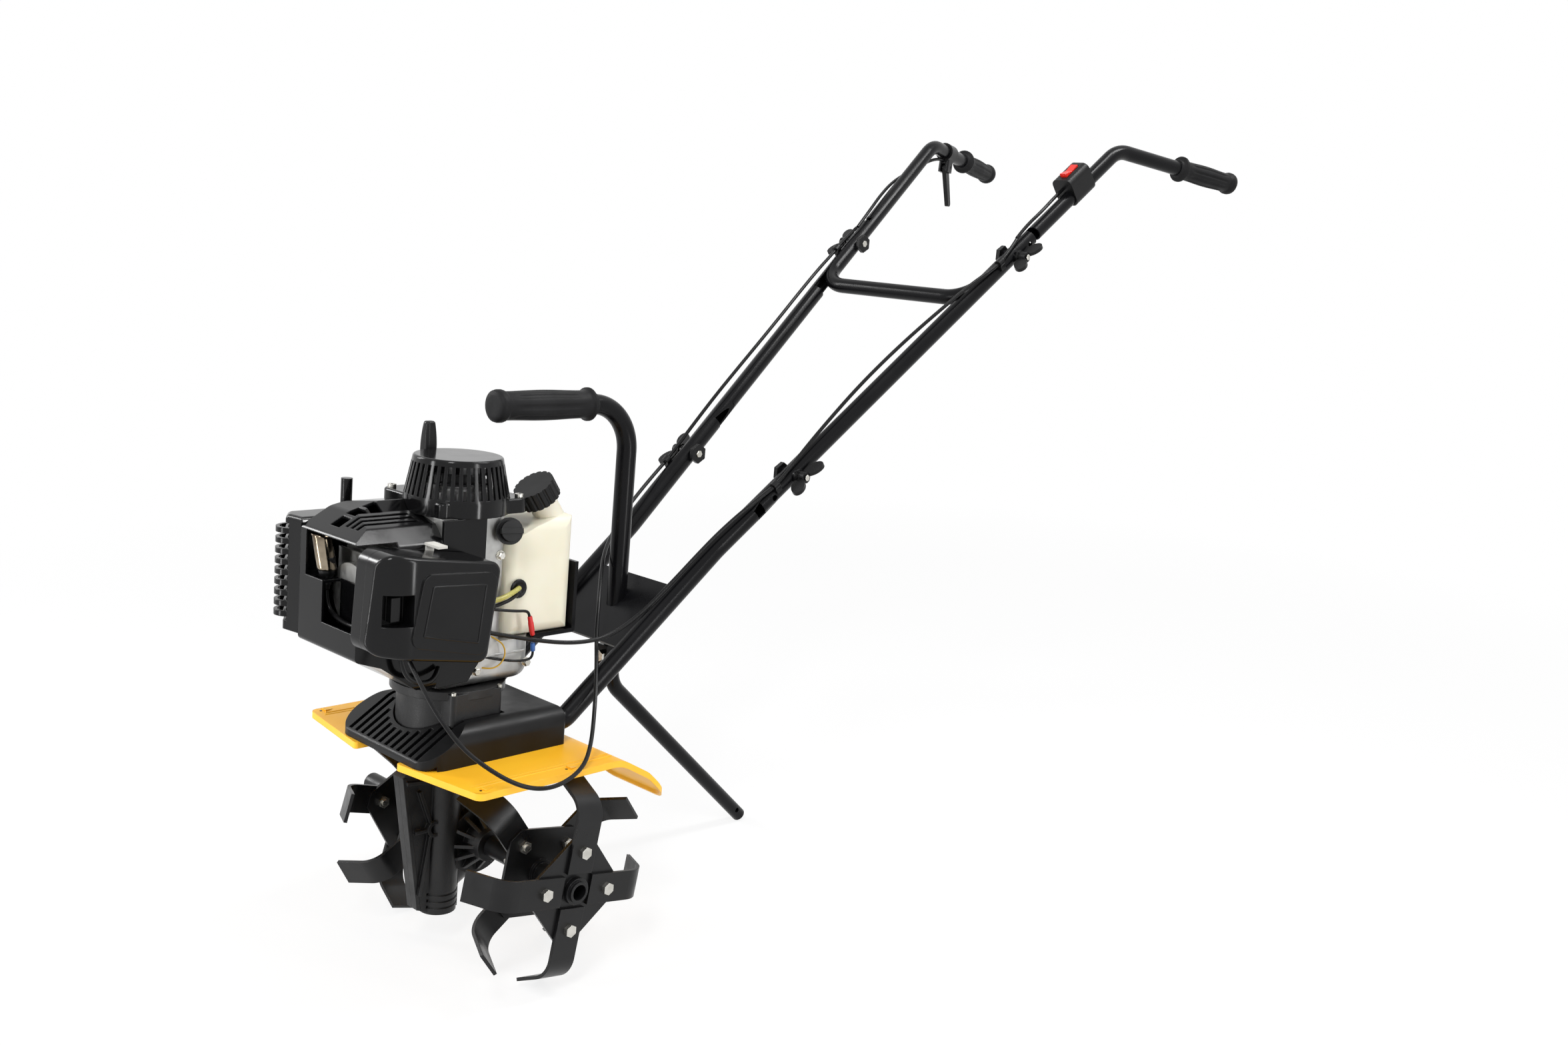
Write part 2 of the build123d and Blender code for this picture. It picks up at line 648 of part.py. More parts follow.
with BuildPart() as gearcase_right:
    mirror(gearcase_left.part, about=Plane.XZ)
finish(gearcase_right, "gearcase_right")


# Tines
def star_plate(near_y, side, angle):
    """One plate of a star, from its blade face to the far face."""
    reach = STAR_PLATE_REACH
    half = STAR_PLATE_HALF
    face = Plane((0, near_y, 0), x_dir=(cos(radians(angle)), 0, sin(radians(angle))), z_dir=(0, side, 0))
    with BuildSketch(face) as outline:
        with BuildLine():
            Polyline((reach, half), (half, reach), (-half, reach), (-reach, half), (-reach, -half),
                     (-half, -reach), (half, -reach), (reach, -half), close=True)
        make_face()
        with PolarLocations(BLADE_BOLT_CIRCLE, 4):
            Circle(TINE_BOLT_R + RUN_FIT, mode=Mode.SUBTRACT)
    with BuildPart() as plate:
        extrude(outline.sketch, amount=STAR_PLATE_T)
    return plate.part


def star_blades(low_y, bends, angle):
    """Four bent blades on one flat layer, each bending toward its own side."""
    blades = []
    for quarter, toward in enumerate(bends):
        turn = radians(angle + 90 * quarter)
        spoke = (cos(turn), 0, sin(turn))
        face_y = low_y if toward > 0 else low_y + BLADE_T
        frame = Plane((0, face_y, 0), x_dir=spoke, z_dir=(-toward * spoke[2], 0, toward * spoke[0]))
        tip = (cos(radians(BLADE_BEND)), sin(radians(BLADE_BEND)))
        outer_r = BLADE_BEND_R
        inner_r = BLADE_BEND_R - BLADE_T
        with BuildSketch(frame) as bent:
            with BuildLine():
                root = Line((BLADE_ROOT, 0), (BLADE_BEND_START, 0))
                bend = JernArc(root @ 1, (1, 0), outer_r, BLADE_BEND)
                run = Line(bend @ 1, bend @ 1 + Vector(*tip) * BLADE_TIP)
                back = Line((BLADE_ROOT, BLADE_T), (BLADE_BEND_START, BLADE_T))
                inside = JernArc(back @ 1, (1, 0), inner_r, BLADE_BEND)
                inside_run = Line(inside @ 1, inside @ 1 + Vector(*tip) * BLADE_TIP)
                Line(run @ 1, inside_run @ 1)
                Line(root @ 0, back @ 0)
            make_face()
        with BuildPart() as blade:
            extrude(bent.sketch, amount=BLADE_WIDTH / 2, both=True)
            rod(tuple(BLADE_BOLT_CIRCLE * s + f for s, f in zip(spoke, (0, low_y - 10, 0))), (0, 1, 0),
                TINE_BOLT_R + RUN_FIT, 20, Mode.SUBTRACT)
        blades.append(blade.part)
    return blades


def star_bolts(head_y, toward, angle):
    """Four bolts: head on the blade face, nut on the plate's far face."""
    bolts = []
    grip = BLADE_T + STAR_PLATE_T
    for quarter in range(4):
        turn = radians(angle + 90 * quarter)
        seat = (BLADE_BOLT_CIRCLE * cos(turn), head_y, BLADE_BOLT_CIRCLE * sin(turn))
        face = Plane(seat, z_dir=(0, toward, 0))
        with BuildSketch(face.offset(-TINE_BOLT_HEAD_T)) as head:
            RegularPolygon(TINE_BOLT_HEAD / 2, 6, major_radius=False)
        with BuildSketch(face.offset(grip)) as nut:
            RegularPolygon(TINE_BOLT_HEAD / 2, 6, major_radius=False)
        with BuildPart() as bolt:
            extrude(head.sketch, amount=TINE_BOLT_HEAD_T)
            extrude(nut.sketch, amount=TINE_BOLT_HEAD_T)
            rod(seat, (0, toward, 0), TINE_BOLT_R, grip + TINE_BOLT_HEAD_T + 2)
        bolts.append(bolt.part)
    return bolts


def hub(shift, turn, start_y, end_y, pin_y):
    """A hub tube with its two star plates and their collars, moved along the axle by a shift."""
    outer_y = STAR_OUTER_Y - BLADE_T + shift
    inner_y = STAR_INNER_Y + BLADE_T + shift
    outer_plate = star_plate(outer_y, -1, LEFT_OUTER_ANGLE + turn)
    inner_plate = star_plate(inner_y, 1, LEFT_INNER_ANGLE + turn)
    with BuildPart() as tube:
        rod((0, start_y, 0), (0, 1, 0), HUB_R, end_y - start_y)
        rod((0, outer_y - STAR_PLATE_T - 4, 0), (0, 1, 0), HUB_COLLAR_R, BLADE_T + STAR_PLATE_T + 6)
        rod((0, inner_y - BLADE_T - 4, 0), (0, 1, 0), HUB_COLLAR_R, BLADE_T + STAR_PLATE_T + 8)
        add([outer_plate, inner_plate])
        rod((0, start_y, 0), (0, 1, 0), AXLE_R + SEAT_FIT, end_y - start_y, Mode.SUBTRACT)
        rod((-HUB_R - 4, pin_y, 0), (1, 0, 0), HUB_PIN_R + RUN_FIT, 2 * HUB_R + 8, Mode.SUBTRACT)
    return tube.part


left_hub = hub(0, 0, HUB_INNER_Y, HUB_OUTER_Y, HUB_PIN_Y)
with BuildPart() as tine_hub_left:
    add(left_hub)
finish(tine_hub_left, "tine_hub_left")

right_hub = hub(-RIGHT_SHIFT, RIGHT_TURN, HUB_INNER_Y - RIGHT_SHIFT, -HUB_INNER_Y, -HUB_PIN_Y)
with BuildPart() as tine_hub_right:
    add(right_hub)
finish(tine_hub_right, "tine_hub_right")

OUTER_BENDS = (-1, -1, -1, -1)
LEFT_INNER_BENDS = (-1, 1, -1, 1)
RIGHT_INNER_BENDS = (1, 1, 1, 1)
left_blades = star_blades(STAR_OUTER_Y - BLADE_T, OUTER_BENDS, LEFT_OUTER_ANGLE)
left_blades += star_blades(STAR_INNER_Y, LEFT_INNER_BENDS, LEFT_INNER_ANGLE)
with BuildPart() as tine_blades_left:
    add(left_blades)
finish(tine_blades_left, "tine_blades_left")

right_blades = star_blades(STAR_OUTER_Y - BLADE_T - RIGHT_SHIFT, OUTER_BENDS, LEFT_OUTER_ANGLE + RIGHT_TURN)
right_inner_angle = LEFT_INNER_ANGLE + RIGHT_TURN
right_blades += star_blades(STAR_INNER_Y - RIGHT_SHIFT, RIGHT_INNER_BENDS, right_inner_angle)
with BuildPart() as tine_blades_right:
    add(right_blades)
finish(tine_blades_right, "tine_blades_right")

all_bolts = []
for shift, turn in ((0, 0), (-RIGHT_SHIFT, RIGHT_TURN)):
    all_bolts += star_bolts(STAR_OUTER_Y + shift, -1, LEFT_OUTER_ANGLE + turn)
    all_bolts += star_bolts(STAR_INNER_Y + shift, 1, LEFT_INNER_ANGLE + turn)
with BuildPart() as tine_bolts:
    add(all_bolts)
    for side in (-1, 1):
        rod((-HUB_R - 2, side * HUB_PIN_Y, 0), (1, 0, 0), HUB_PIN_R, 2 * HUB_R + 4)
finish(tine_bolts, "tine_bolts")

# Clutch housing
with BuildPart() as clutch_housing:
    with BuildSketch(Plane.XZ):
        with BuildLine():
            Polyline(
                (CRANK_X, CASE_TOP_Z), (CRANK_X + CASE_TOP_R, CASE_TOP_Z),
                (CRANK_X + BELL_R, CASE_TOP_Z + BELL_CONE),
                (CRANK_X + BELL_R, BLOCK_FOOT_Z - BELL_FLANGE_T),
                (CRANK_X + BELL_FLANGE_R, BLOCK_FOOT_Z - BELL_FLANGE_T),
                (CRANK_X + BELL_FLANGE_R, BLOCK_FOOT_Z), (CRANK_X, BLOCK_FOOT_Z), close=True)
        make_face()
    revolve(axis=Axis((CRANK_X, 0, 0), (0, 0, 1)))
    block(BELL_BOX_X[0], BELL_BOX_X[1], 20, BELL_BOX_Y, BELL_BOX_Z[0], BELL_BOX_Z[1])
    fillet(clutch_housing.edges().filter_by(Axis.Z).group_by(Axis.Y)[-1], 6)
    rod((CRANK_X, 0, CASE_TOP_Z + BELL_FLOOR_T), (0, 0, 1), BELL_ROOM_R, 100, Mode.SUBTRACT)
    rod((CRANK_X, 0, CASE_TOP_Z), (0, 0, 1), WORM_SHAFT_R + 1, 20, Mode.SUBTRACT)
finish(clutch_housing, "clutch_housing")

# Hood: a slotted shell over the top of the gearcase
hood_rise = (HOOD_TOP_Z - HOOD_LIP_Z) / (HOOD_FRONT_X - HOOD_SLOPE_X)


def under_slope(x, depth):
    """The height at a depth below the hood's front slope."""
    return HOOD_LIP_Z + (HOOD_FRONT_X - x) * hood_rise - depth * hypot(1, hood_rise)


def slot_cutter(start_x, middle):
    """The bar that cuts one blind slot into the hood's front slope."""
    end_x = HOOD_FRONT_X - HOOD_T
    with BuildPart() as cutter:
        with BuildSketch(Plane.XZ.offset(-middle)):
            with BuildLine():
                Polyline((start_x, under_slope(start_x, HOOD_SLOT_DEPTH)),
                         (end_x, under_slope(end_x, HOOD_SLOT_DEPTH)),
                         (end_x, HOOD_TOP_Z + 5), (start_x, HOOD_TOP_Z + 5), close=True)
            make_face()
        extrude(amount=HOOD_SLOT_W / 2, both=True)
    return cutter.part


room_end_x = HOOD_FRONT_X - HOOD_T
room_roof_x = HOOD_FRONT_X - (HOOD_TOP_Z - HOOD_T - under_slope(HOOD_FRONT_X, HOOD_SLOPE_T)) / hood_rise
hood_side = profile(
    Plane.XZ,
    [(HOOD_REAR_X, FENDER_TOP_Z), (HOOD_FRONT_X, FENDER_TOP_Z), (HOOD_FRONT_X, HOOD_LIP_Z),
     (HOOD_SLOPE_X, HOOD_TOP_Z), (HOOD_REAR_X, HOOD_TOP_Z)],
    [0, 0, 5, 30, 4],
)
hood_front = profile(
    Plane.YZ,
    [(-HOOD_HALF, FENDER_TOP_Z), (HOOD_HALF, FENDER_TOP_Z), (HOOD_HALF, HOOD_TOP_Z),
     (-HOOD_HALF, HOOD_TOP_Z)],
    [0, 0, HOOD_SHOULDER_R, HOOD_SHOULDER_R],
)
room_side = profile(
    Plane.XZ,
    [(HOOD_REAR_X + HOOD_T, FENDER_TOP_Z - 9), (room_end_x, FENDER_TOP_Z - 9),
     (room_end_x, under_slope(room_end_x, HOOD_SLOPE_T)), (room_roof_x, HOOD_TOP_Z - HOOD_T),
     (HOOD_REAR_X + HOOD_T, HOOD_TOP_Z - HOOD_T)],
    [0, 0, 3, 28, 2],
)
room_half = HOOD_HALF - HOOD_T
room_front = profile(
    Plane.YZ,
    [(-room_half, FENDER_TOP_Z - 9), (room_half, FENDER_TOP_Z - 9), (room_half, HOOD_TOP_Z - HOOD_T),
     (-room_half, HOOD_TOP_Z - HOOD_T)],
    [0, 0, HOOD_SHOULDER_R - HOOD_T, HOOD_SHOULDER_R - HOOD_T],
)
hood_plan = profile(
    Plane.XY,
    [(HOOD_REAR_X, -HOOD_HALF), (HOOD_FRONT_X, -HOOD_HALF), (HOOD_FRONT_X, HOOD_HALF),
     (HOOD_REAR_X, HOOD_HALF)],
    [4, HOOD_NOSE_R, HOOD_NOSE_R, 4],
)
hood_body = crossed(hood_side, hood_front)
hood_room = crossed(room_side, room_front)
with BuildPart() as case_cover:
    add(hood_body)
    extrude(hood_plan, amount=400, both=True, mode=Mode.INTERSECT)
    add(hood_room, mode=Mode.SUBTRACT)
    rod((CRANK_X, 0, FENDER_TOP_Z), (0, 0, 1), HOOD_NECK_R, 60, Mode.SUBTRACT)
    block(BELL_BOX_X[0] - 2, BELL_BOX_X[1] + 2, 0, BELL_BOX_Y + 2, HOOD_TOP_Z - 12, HOOD_TOP_Z + 5,
          Mode.SUBTRACT)
    for slot in range(HOOD_SLOTS):
        middle = (slot - (HOOD_SLOTS - 1) / 2) * HOOD_SLOT_PITCH
        past = max(24.0, (max(0.0, (HOOD_NECK_R + 4) ** 2 - middle ** 2)) ** 0.5)
        add(slot_cutter(CRANK_X + past, middle), mode=Mode.SUBTRACT)
    for side in (-1, 1):
        tube_way = (HOOD_REAR_X - 5, side * TUBE_KNEE[1], TUBE_KNEE[2])
        rod(tube_way, (1, 0, 0), TUBE_R + RUN_FIT, 10, Mode.SUBTRACT)
finish(case_cover, "case_cover")

# Fender
fender_side = profile(
    Plane.XZ,
    [(FENDER_FRONT_X, FENDER_TOP_Z), (FENDER_KNEE_X, FENDER_TOP_Z), FENDER_DROP, FENDER_TAIL,
     (FENDER_TAIL[0], FENDER_TAIL[1] - FENDER_LIP), (FENDER_DROP[0], FENDER_DROP[1] - FENDER_LIP),
     (FENDER_KNEE_X, FENDER_TOP_Z - FENDER_LIP), (FENDER_FRONT_X, FENDER_TOP_Z - FENDER_LIP)],
    [0, FENDER_KNEE_R, FENDER_DROP_R, 0, 0, FENDER_DROP_R, FENDER_KNEE_R, 0],
)
fender_hollow = profile(
    Plane.XZ,
    [(FENDER_FRONT_X, FENDER_TOP_Z - FENDER_T), (FENDER_KNEE_X + 1, FENDER_TOP_Z - FENDER_T),
     (FENDER_DROP[0] + 1, FENDER_DROP[1] - FENDER_T), (FENDER_TAIL[0], FENDER_TAIL[1] - FENDER_T),
     (FENDER_TAIL[0], FENDER_TAIL[1] - 40), (FENDER_FRONT_X, FENDER_TAIL[1] - 40)],
    [0, FENDER_KNEE_R, FENDER_DROP_R, 0, 0, 0],
)
fender_plan = [
    (FENDER_FRONT_X, FENDER_SLOT_HALF), (FENDER_FRONT_OUTER_X, FENDER_HALF), (FENDER_TAIL[0], FENDER_HALF),
    (FENDER_TAIL[0], FENDER_TAIL_INNER), (FENDER_BRIDGE_X, FENDER_TAIL_INNER),
    (FENDER_BRIDGE_X, -FENDER_TAIL_INNER), (FENDER_TAIL[0], -FENDER_TAIL_INNER),
    (FENDER_TAIL[0], -FENDER_HALF),
    (FENDER_FRONT_OUTER_X, -FENDER_HALF), (FENDER_FRONT_X, -FENDER_SLOT_HALF),
    (FENDER_SLOT_END_X, -FENDER_SLOT_HALF), (FENDER_SLOT_END_X, FENDER_SLOT_HALF),
]
plan_radii = [4, 10, FENDER_TAIL_R, 16, 8, 8, 16, FENDER_TAIL_R, 10, 4, 8, 8]
fender_outline = profile(Plane.XY, fender_plan, plan_radii)
fender_inset = profile(Plane.XY, fender_plan, plan_radii, FENDER_T)
fender_body = crossed(fender_side, fender_outline)
fender_under = crossed(fender_hollow, fender_inset)
with BuildPart() as fender:
    add(fender_body)
    add(fender_under, mode=Mode.SUBTRACT)
finish(fender, "fender")

# Tube frame: one bent tube behind the bell, lapped at its two upper ends
slope = unit(JOINT_LOW, JOINT_HIGH)
level = unit((JOINT_LOW[0], 0, JOINT_LOW[2]), (JOINT_HIGH[0], 0, JOINT_HIGH[2]))
joint_gap = hypot(*[b - a for a, b in zip(JOINT_LOW, JOINT_HIGH)])
lower_end = along(JOINT_LOW, slope, LOWER_OVER)
yoke = (CRANK_X - BELL_R - TUBE_R - RUN_FIT, TUBE_KNEE[1], TUBE_KNEE[2])
lower_route = [lower_end, TUBE_SPLAY, TUBE_KNEE, yoke, other_side(yoke), other_side(TUBE_KNEE),
               other_side(TUBE_SPLAY), other_side(lower_end)]
lower_bends = [150, 20, 20, 20, 20, 150]
lower_bar = swept(lower_route, lower_bends, TUBE_R, TUBE_R - TUBE_T)
lower_core = swept(lower_route, lower_bends, TUBE_R + SEAT_FIT)


def half_lap(joint, outside, from_s, to_s, way):
    """The block that a lap joint takes away beside a joint, level with the fold or along the tube."""
    side = 1 if outside else -1
    across = (Vector(0, 1, 0) - Vector(*way) * way[1]).normalized()
    frame = Plane(along(joint, way, from_s), x_dir=across, z_dir=way)
    with BuildSketch(frame) as window:
        with Locations((side * (30 - LAP_GAP / 2), 0)):
            Rectangle(60, 60)
    with BuildPart() as cut:
        extrude(window.sketch, amount=to_s - from_s)
    return [cut.part, cut.part.mirror(Plane.XZ)]


def bolt_pads(joint, side, tube_r):
    """Round pads that a joint's bolt heads or wing nuts bear on."""
    with BuildPart() as pad:
        foot = (joint[0], joint[1] + side * (tube_r - PAD_SINK), joint[2])
        rod(foot, (0, side, 0), PAD_R, PAD_SINK + PAD_RISE)
    return [pad.part, pad.part.mirror(Plane.XZ)]


def joint_holes(joint, radius):
    """Bolt holes through both sides of a joint."""
    with BuildPart() as hole:
        rod((joint[0], joint[1] - 40, joint[2]), (0, 1, 0), radius, 80)
    return [hole.part, hole.part.mirror(Plane.XZ)]


lower_cuts = half_lap(JOINT_LOW, True, -LOWER_LAP, LOWER_OVER + 40, level)
lower_cuts += joint_holes(JOINT_LOW, JOINT_BOLT_R + RUN_FIT)
lower_pads = bolt_pads(JOINT_LOW, -1, TUBE_R)
with BuildPart() as lower_tubes:
    add(lower_bar)
    add(lower_pads)
    add(lower_cuts, mode=Mode.SUBTRACT)
finish(lower_tubes, "lower_tubes")

mid_start = along(JOINT_LOW, slope, -MID_UNDER)
mid_spare_low = along(JOINT_LOW, slope, -45)
mid_spare_high = along(JOINT_HIGH, slope, 30)
mid_cuts = half_lap(JOINT_LOW, False, -MID_UNDER - 40, MID_LAP_LOW, level)
mid_cuts += half_lap(JOINT_HIGH, False, -MID_LAP_HIGH, 3 - LAP_FLAT, slope)
mid_cuts += half_lap(JOINT_HIGH, False, -LAP_FLAT, MID_OVER + 40, level)
mid_cuts += joint_holes(JOINT_LOW, JOINT_BOLT_R + RUN_FIT) + joint_holes(JOINT_HIGH, JOINT_BOLT_R + RUN_FIT)
mid_cuts += joint_holes(mid_spare_low, JOINT_BOLT_R) + joint_holes(mid_spare_high, JOINT_BOLT_R)
mid_pads = bolt_pads(JOINT_LOW, 1, MID_R) + bolt_pads(JOINT_HIGH, 1, MID_R)
with BuildPart() as mid_tube_left:
    rod(mid_start, slope, MID_R, joint_gap + MID_OVER + MID_UNDER)
    rod(mid_start, slope, MID_R - TUBE_T, joint_gap + MID_OVER + MID_UNDER, Mode.SUBTRACT)
    add([mid_pads[0], mid_pads[2]])
    add(mid_cuts, mode=Mode.SUBTRACT)
finish(mid_tube_left, "mid_tube_left")

with BuildPart() as mid_tube_right:
    mirror(mid_tube_left.part, about=Plane.XZ)
finish(mid_tube_right, "mid_tube_right")

bar_corner = along(JOINT_HIGH, slope, -BAR_CORNER)
bar_route = [BAR_END, BAR_KNEE, bar_corner, other_side(bar_corner), other_side(BAR_KNEE), other_side(BAR_END)]
bar_solid = swept(bar_route, [BAR_KNEE_R, BAR_CORNER_R, BAR_CORNER_R, BAR_KNEE_R], BAR_R, BAR_R - BAR_T)
bar_cuts = half_lap(JOINT_HIGH, True, -BAR_CORNER - 40, 3 - LAP_FLAT, slope)
bar_cuts += half_lap(JOINT_HIGH, True, -LAP_FLAT, BAR_LAP, level)
bar_cuts += joint_holes(JOINT_HIGH, JOINT_BOLT_R + RUN_FIT)
bar_pads = bolt_pads(JOINT_HIGH, -1, BAR_R)
with BuildPart() as handlebar:
    add(bar_solid)
    add(bar_pads)
    add(bar_cuts, mode=Mode.SUBTRACT)
finish(handlebar, "handlebar")

# Grips on the handlebar
hand = unit(BAR_END, BAR_KNEE)
with BuildPart() as left_grip:
    grip_foot = along(BAR_END, hand, -5)
    rod(grip_foot, hand, GRIP_R, GRIP_LENGTH)
    fillet(left_grip.edges().filter_by(GeomType.CIRCLE).sort_by(Axis.X)[0], 6)
    rod(along(BAR_END, hand, GRIP_LENGTH - 5 - GRIP_FLANGE_T), hand, GRIP_FLANGE_R, GRIP_FLANGE_T)
    rod(BAR_END, hand, BAR_R + SEAT_FIT, GRIP_LENGTH, Mode.SUBTRACT)
with BuildPart() as handlebar_grips:
    add(left_grip.part)
    mirror(left_grip.part, about=Plane.XZ)
finish(handlebar_grips, "handlebar_grips")

# Bolts through the folding joints, head inside, thread outside
joint_list = (JOINT_LOW, JOINT_HIGH)
joint_radii = (TUBE_R, BAR_R)
bolt_solids = []
for joint, inner_r in zip(joint_list, joint_radii):
    head_face = joint[1] - inner_r - PAD_RISE
    nut_face = joint[1] + MID_R + PAD_RISE
    with BuildSketch(Plane((joint[0], head_face - JOINT_HEAD_T, joint[2]), z_dir=(0, 1, 0))) as head:
        RegularPolygon(JOINT_HEAD / 2, 6, major_radius=False)
    with BuildPart() as joint_bolt:
        extrude(head.sketch, amount=JOINT_HEAD_T)
        rod((joint[0], head_face, joint[2]), (0, 1, 0), JOINT_BOLT_R, nut_face - head_face + WING_HUB_T + 2)
    bolt_solids += [joint_bolt.part, joint_bolt.part.mirror(Plane.XZ)]
with BuildPart() as joint_bolts:
    add(bolt_solids)
finish(joint_bolts, "joint_bolts")


def wing_nut(joint, side):
    """A wing nut seated on the outer side of a joint."""
    seat = Plane((joint[0], side * (joint[1] + MID_R + PAD_RISE), joint[2]), x_dir=level, z_dir=(0, side, 0))
    with BuildSketch(seat) as flange:
        Circle(WING_FLANGE_R)
    with BuildSketch(seat) as body:
        Circle(WING_HUB_R)
    with BuildSketch(seat) as bore:
        Circle(JOINT_BOLT_R + RUN_FIT)
    wings = []
    for hand_side in (-1, 1):
        root = seat.from_local_coords((hand_side * (WING_HUB_R + WING_SPAN / 4), 0, WING_HUB_T))
        out = seat.from_local_coords((hand_side, 0, 0.6)) - seat.origin
        across = seat.z_dir.cross(seat.x_dir)
        with BuildSketch(Plane(root - across * WING_T / 2, x_dir=out, z_dir=across)) as wing:
            Ellipse(WING_SPAN / 3, WING_HEIGHT / 2)
        wings.append(wing.sketch)
    with BuildPart() as nut:
        extrude(flange.sketch, amount=3)
        extrude(body.sketch, amount=WING_HUB_T)
        for wing_shape in wings:
            extrude(wing_shape, amount=WING_T)
        extrude(bore.sketch, amount=WING_HUB_T + 20, mode=Mode.SUBTRACT)
        extrude(flange.sketch, amount=-30, mode=Mode.SUBTRACT)
    return nut.part


low_left = wing_nut(JOINT_LOW, 1)
with BuildPart() as wing_nut_lower_left:
    add(low_left)
finish(wing_nut_lower_left, "wing_nut_lower_left")
with BuildPart() as wing_nut_lower_right:
    mirror(low_left, about=Plane.XZ)
finish(wing_nut_lower_right, "wing_nut_lower_right")
high_left = wing_nut(JOINT_HIGH, 1)
with BuildPart() as wing_nut_upper_left:
    add(high_left)
finish(wing_nut_upper_left, "wing_nut_upper_left")
with BuildPart() as wing_nut_upper_right:
    mirror(high_left, about=Plane.XZ)
finish(wing_nut_upper_right, "wing_nut_upper_right")

# Plate between the lower tubes and the lift handle that stands through it
plate_up = (level[2], 0, -level[0])
plate_mid = (sum(PLATE_X) / 2, 0, JOINT_LOW[2] + (JOINT_LOW[0] - sum(PLATE_X) / 2) * -level[2] / level[0])
plate_length = abs(PLATE_X[0] - PLATE_X[1]) / abs(level[0])
with BuildPart() as cross_plate:
    with BuildSketch(Plane(plate_mid, x_dir=level, z_dir=plate_up)):
        RectangleRounded(plate_length, 2 * (TUBE_SPLAY[1] - 4), 6)
    extrude(amount=PLATE_T / 2, both=True)
    add(lower_core, mode=Mode.SUBTRACT)
    rod((LIFT_X, 0, 0), (0, 0, 1), TUBE_R + RUN_FIT, 600, Mode.SUBTRACT)
finish(cross_plate, "cross_plate")

lift_route = [(LIFT_X, 0, LIFT_FOOT_Z), (LIFT_X, 0, LIFT_TOP_Z), (LIFT_END_X, 0, LIFT_TOP_Z)]
lift_tube = swept(lift_route, [LIFT_BEND_R], TUBE_R, LIFT_BORE_R)
clamp_z = LIFT_FOOT_Z + 16
with BuildPart() as lift_handle:
    add(lift_tube)
    block(LIFT_X, LIFT_X + TUBE_R + 6, -9, 9, LIFT_FOOT_Z, LIFT_FOOT_Z + 30)
    rod((LIFT_X, 0, LIFT_FOOT_Z), (0, 0, 1), LIFT_BORE_R, 60, Mode.SUBTRACT)
    rod((LIFT_X, 0, clamp_z), (1, 0, 0), JOINT_BOLT_R + RUN_FIT, 40, Mode.SUBTRACT)
finish(lift_handle, "lift_handle")

with BuildPart() as lift_grip:
    rod((LIFT_GRIP_X[0], 0, LIFT_TOP_Z), (1, 0, 0), LIFT_GRIP_R, LIFT_GRIP_X[1] - LIFT_GRIP_X[0])
    fillet(lift_grip.edges().filter_by(GeomType.CIRCLE).sort_by(Axis.X)[-1], 8)
    rod((LIFT_GRIP_X[0], 0, LIFT_TOP_Z), (1, 0, 0), LIFT_GRIP_R + 2, 5)
    rod((LIFT_GRIP_X[0], 0, LIFT_TOP_Z), (1, 0, 0), TUBE_R + SEAT_FIT, LIFT_END_X - LIFT_GRIP_X[0],
        Mode.SUBTRACT)
finish(lift_grip, "lift_grip")

# Drag bar, long enough to reach the ground that the tines stand on
lean = radians(LEAN)
leaned = Plane((0, 0, 0), x_dir=(cos(lean), 0, sin(lean)), z_dir=(-sin(lean), 0, cos(lean)))
ground = min(
    leaned.from_local_coords(star.part).bounding_box().min.Z for star in (tine_blades_left, tine_blades_right)
)
drag_way = (-cos(radians(DRAG_SLOPE)), 0, -sin(radians(DRAG_SLOPE)))
drag_fall = -(drag_way[0] * sin(lean) + drag_way[2] * cos(lean))
heel = DRAG_R * (-drag_way[2] * sin(lean) + drag_way[0] * cos(lean))
knee_height = LIFT_X * sin(lean) + DRAG_KNEE_Z * cos(lean)
drag_reach = (knee_height + heel - ground) / drag_fall
drag_knee = (LIFT_X, 0, DRAG_KNEE_Z)
drag_end = along(drag_knee, drag_way, drag_reach)
drag_solid = swept([(LIFT_X, 0, DRAG_TOP_Z), drag_knee, drag_end], [DRAG_BEND_R], DRAG_R)
drag_hole = along(drag_end, drag_way, -DRAG_HOLE_BACK)
with BuildPart() as drag_bar:
    add(drag_solid)
    rod((drag_hole[0], -20, drag_hole[2]), (0, 1, 0), DRAG_HOLE_R, 40, Mode.SUBTRACT)
finish(drag_bar, "drag_bar")

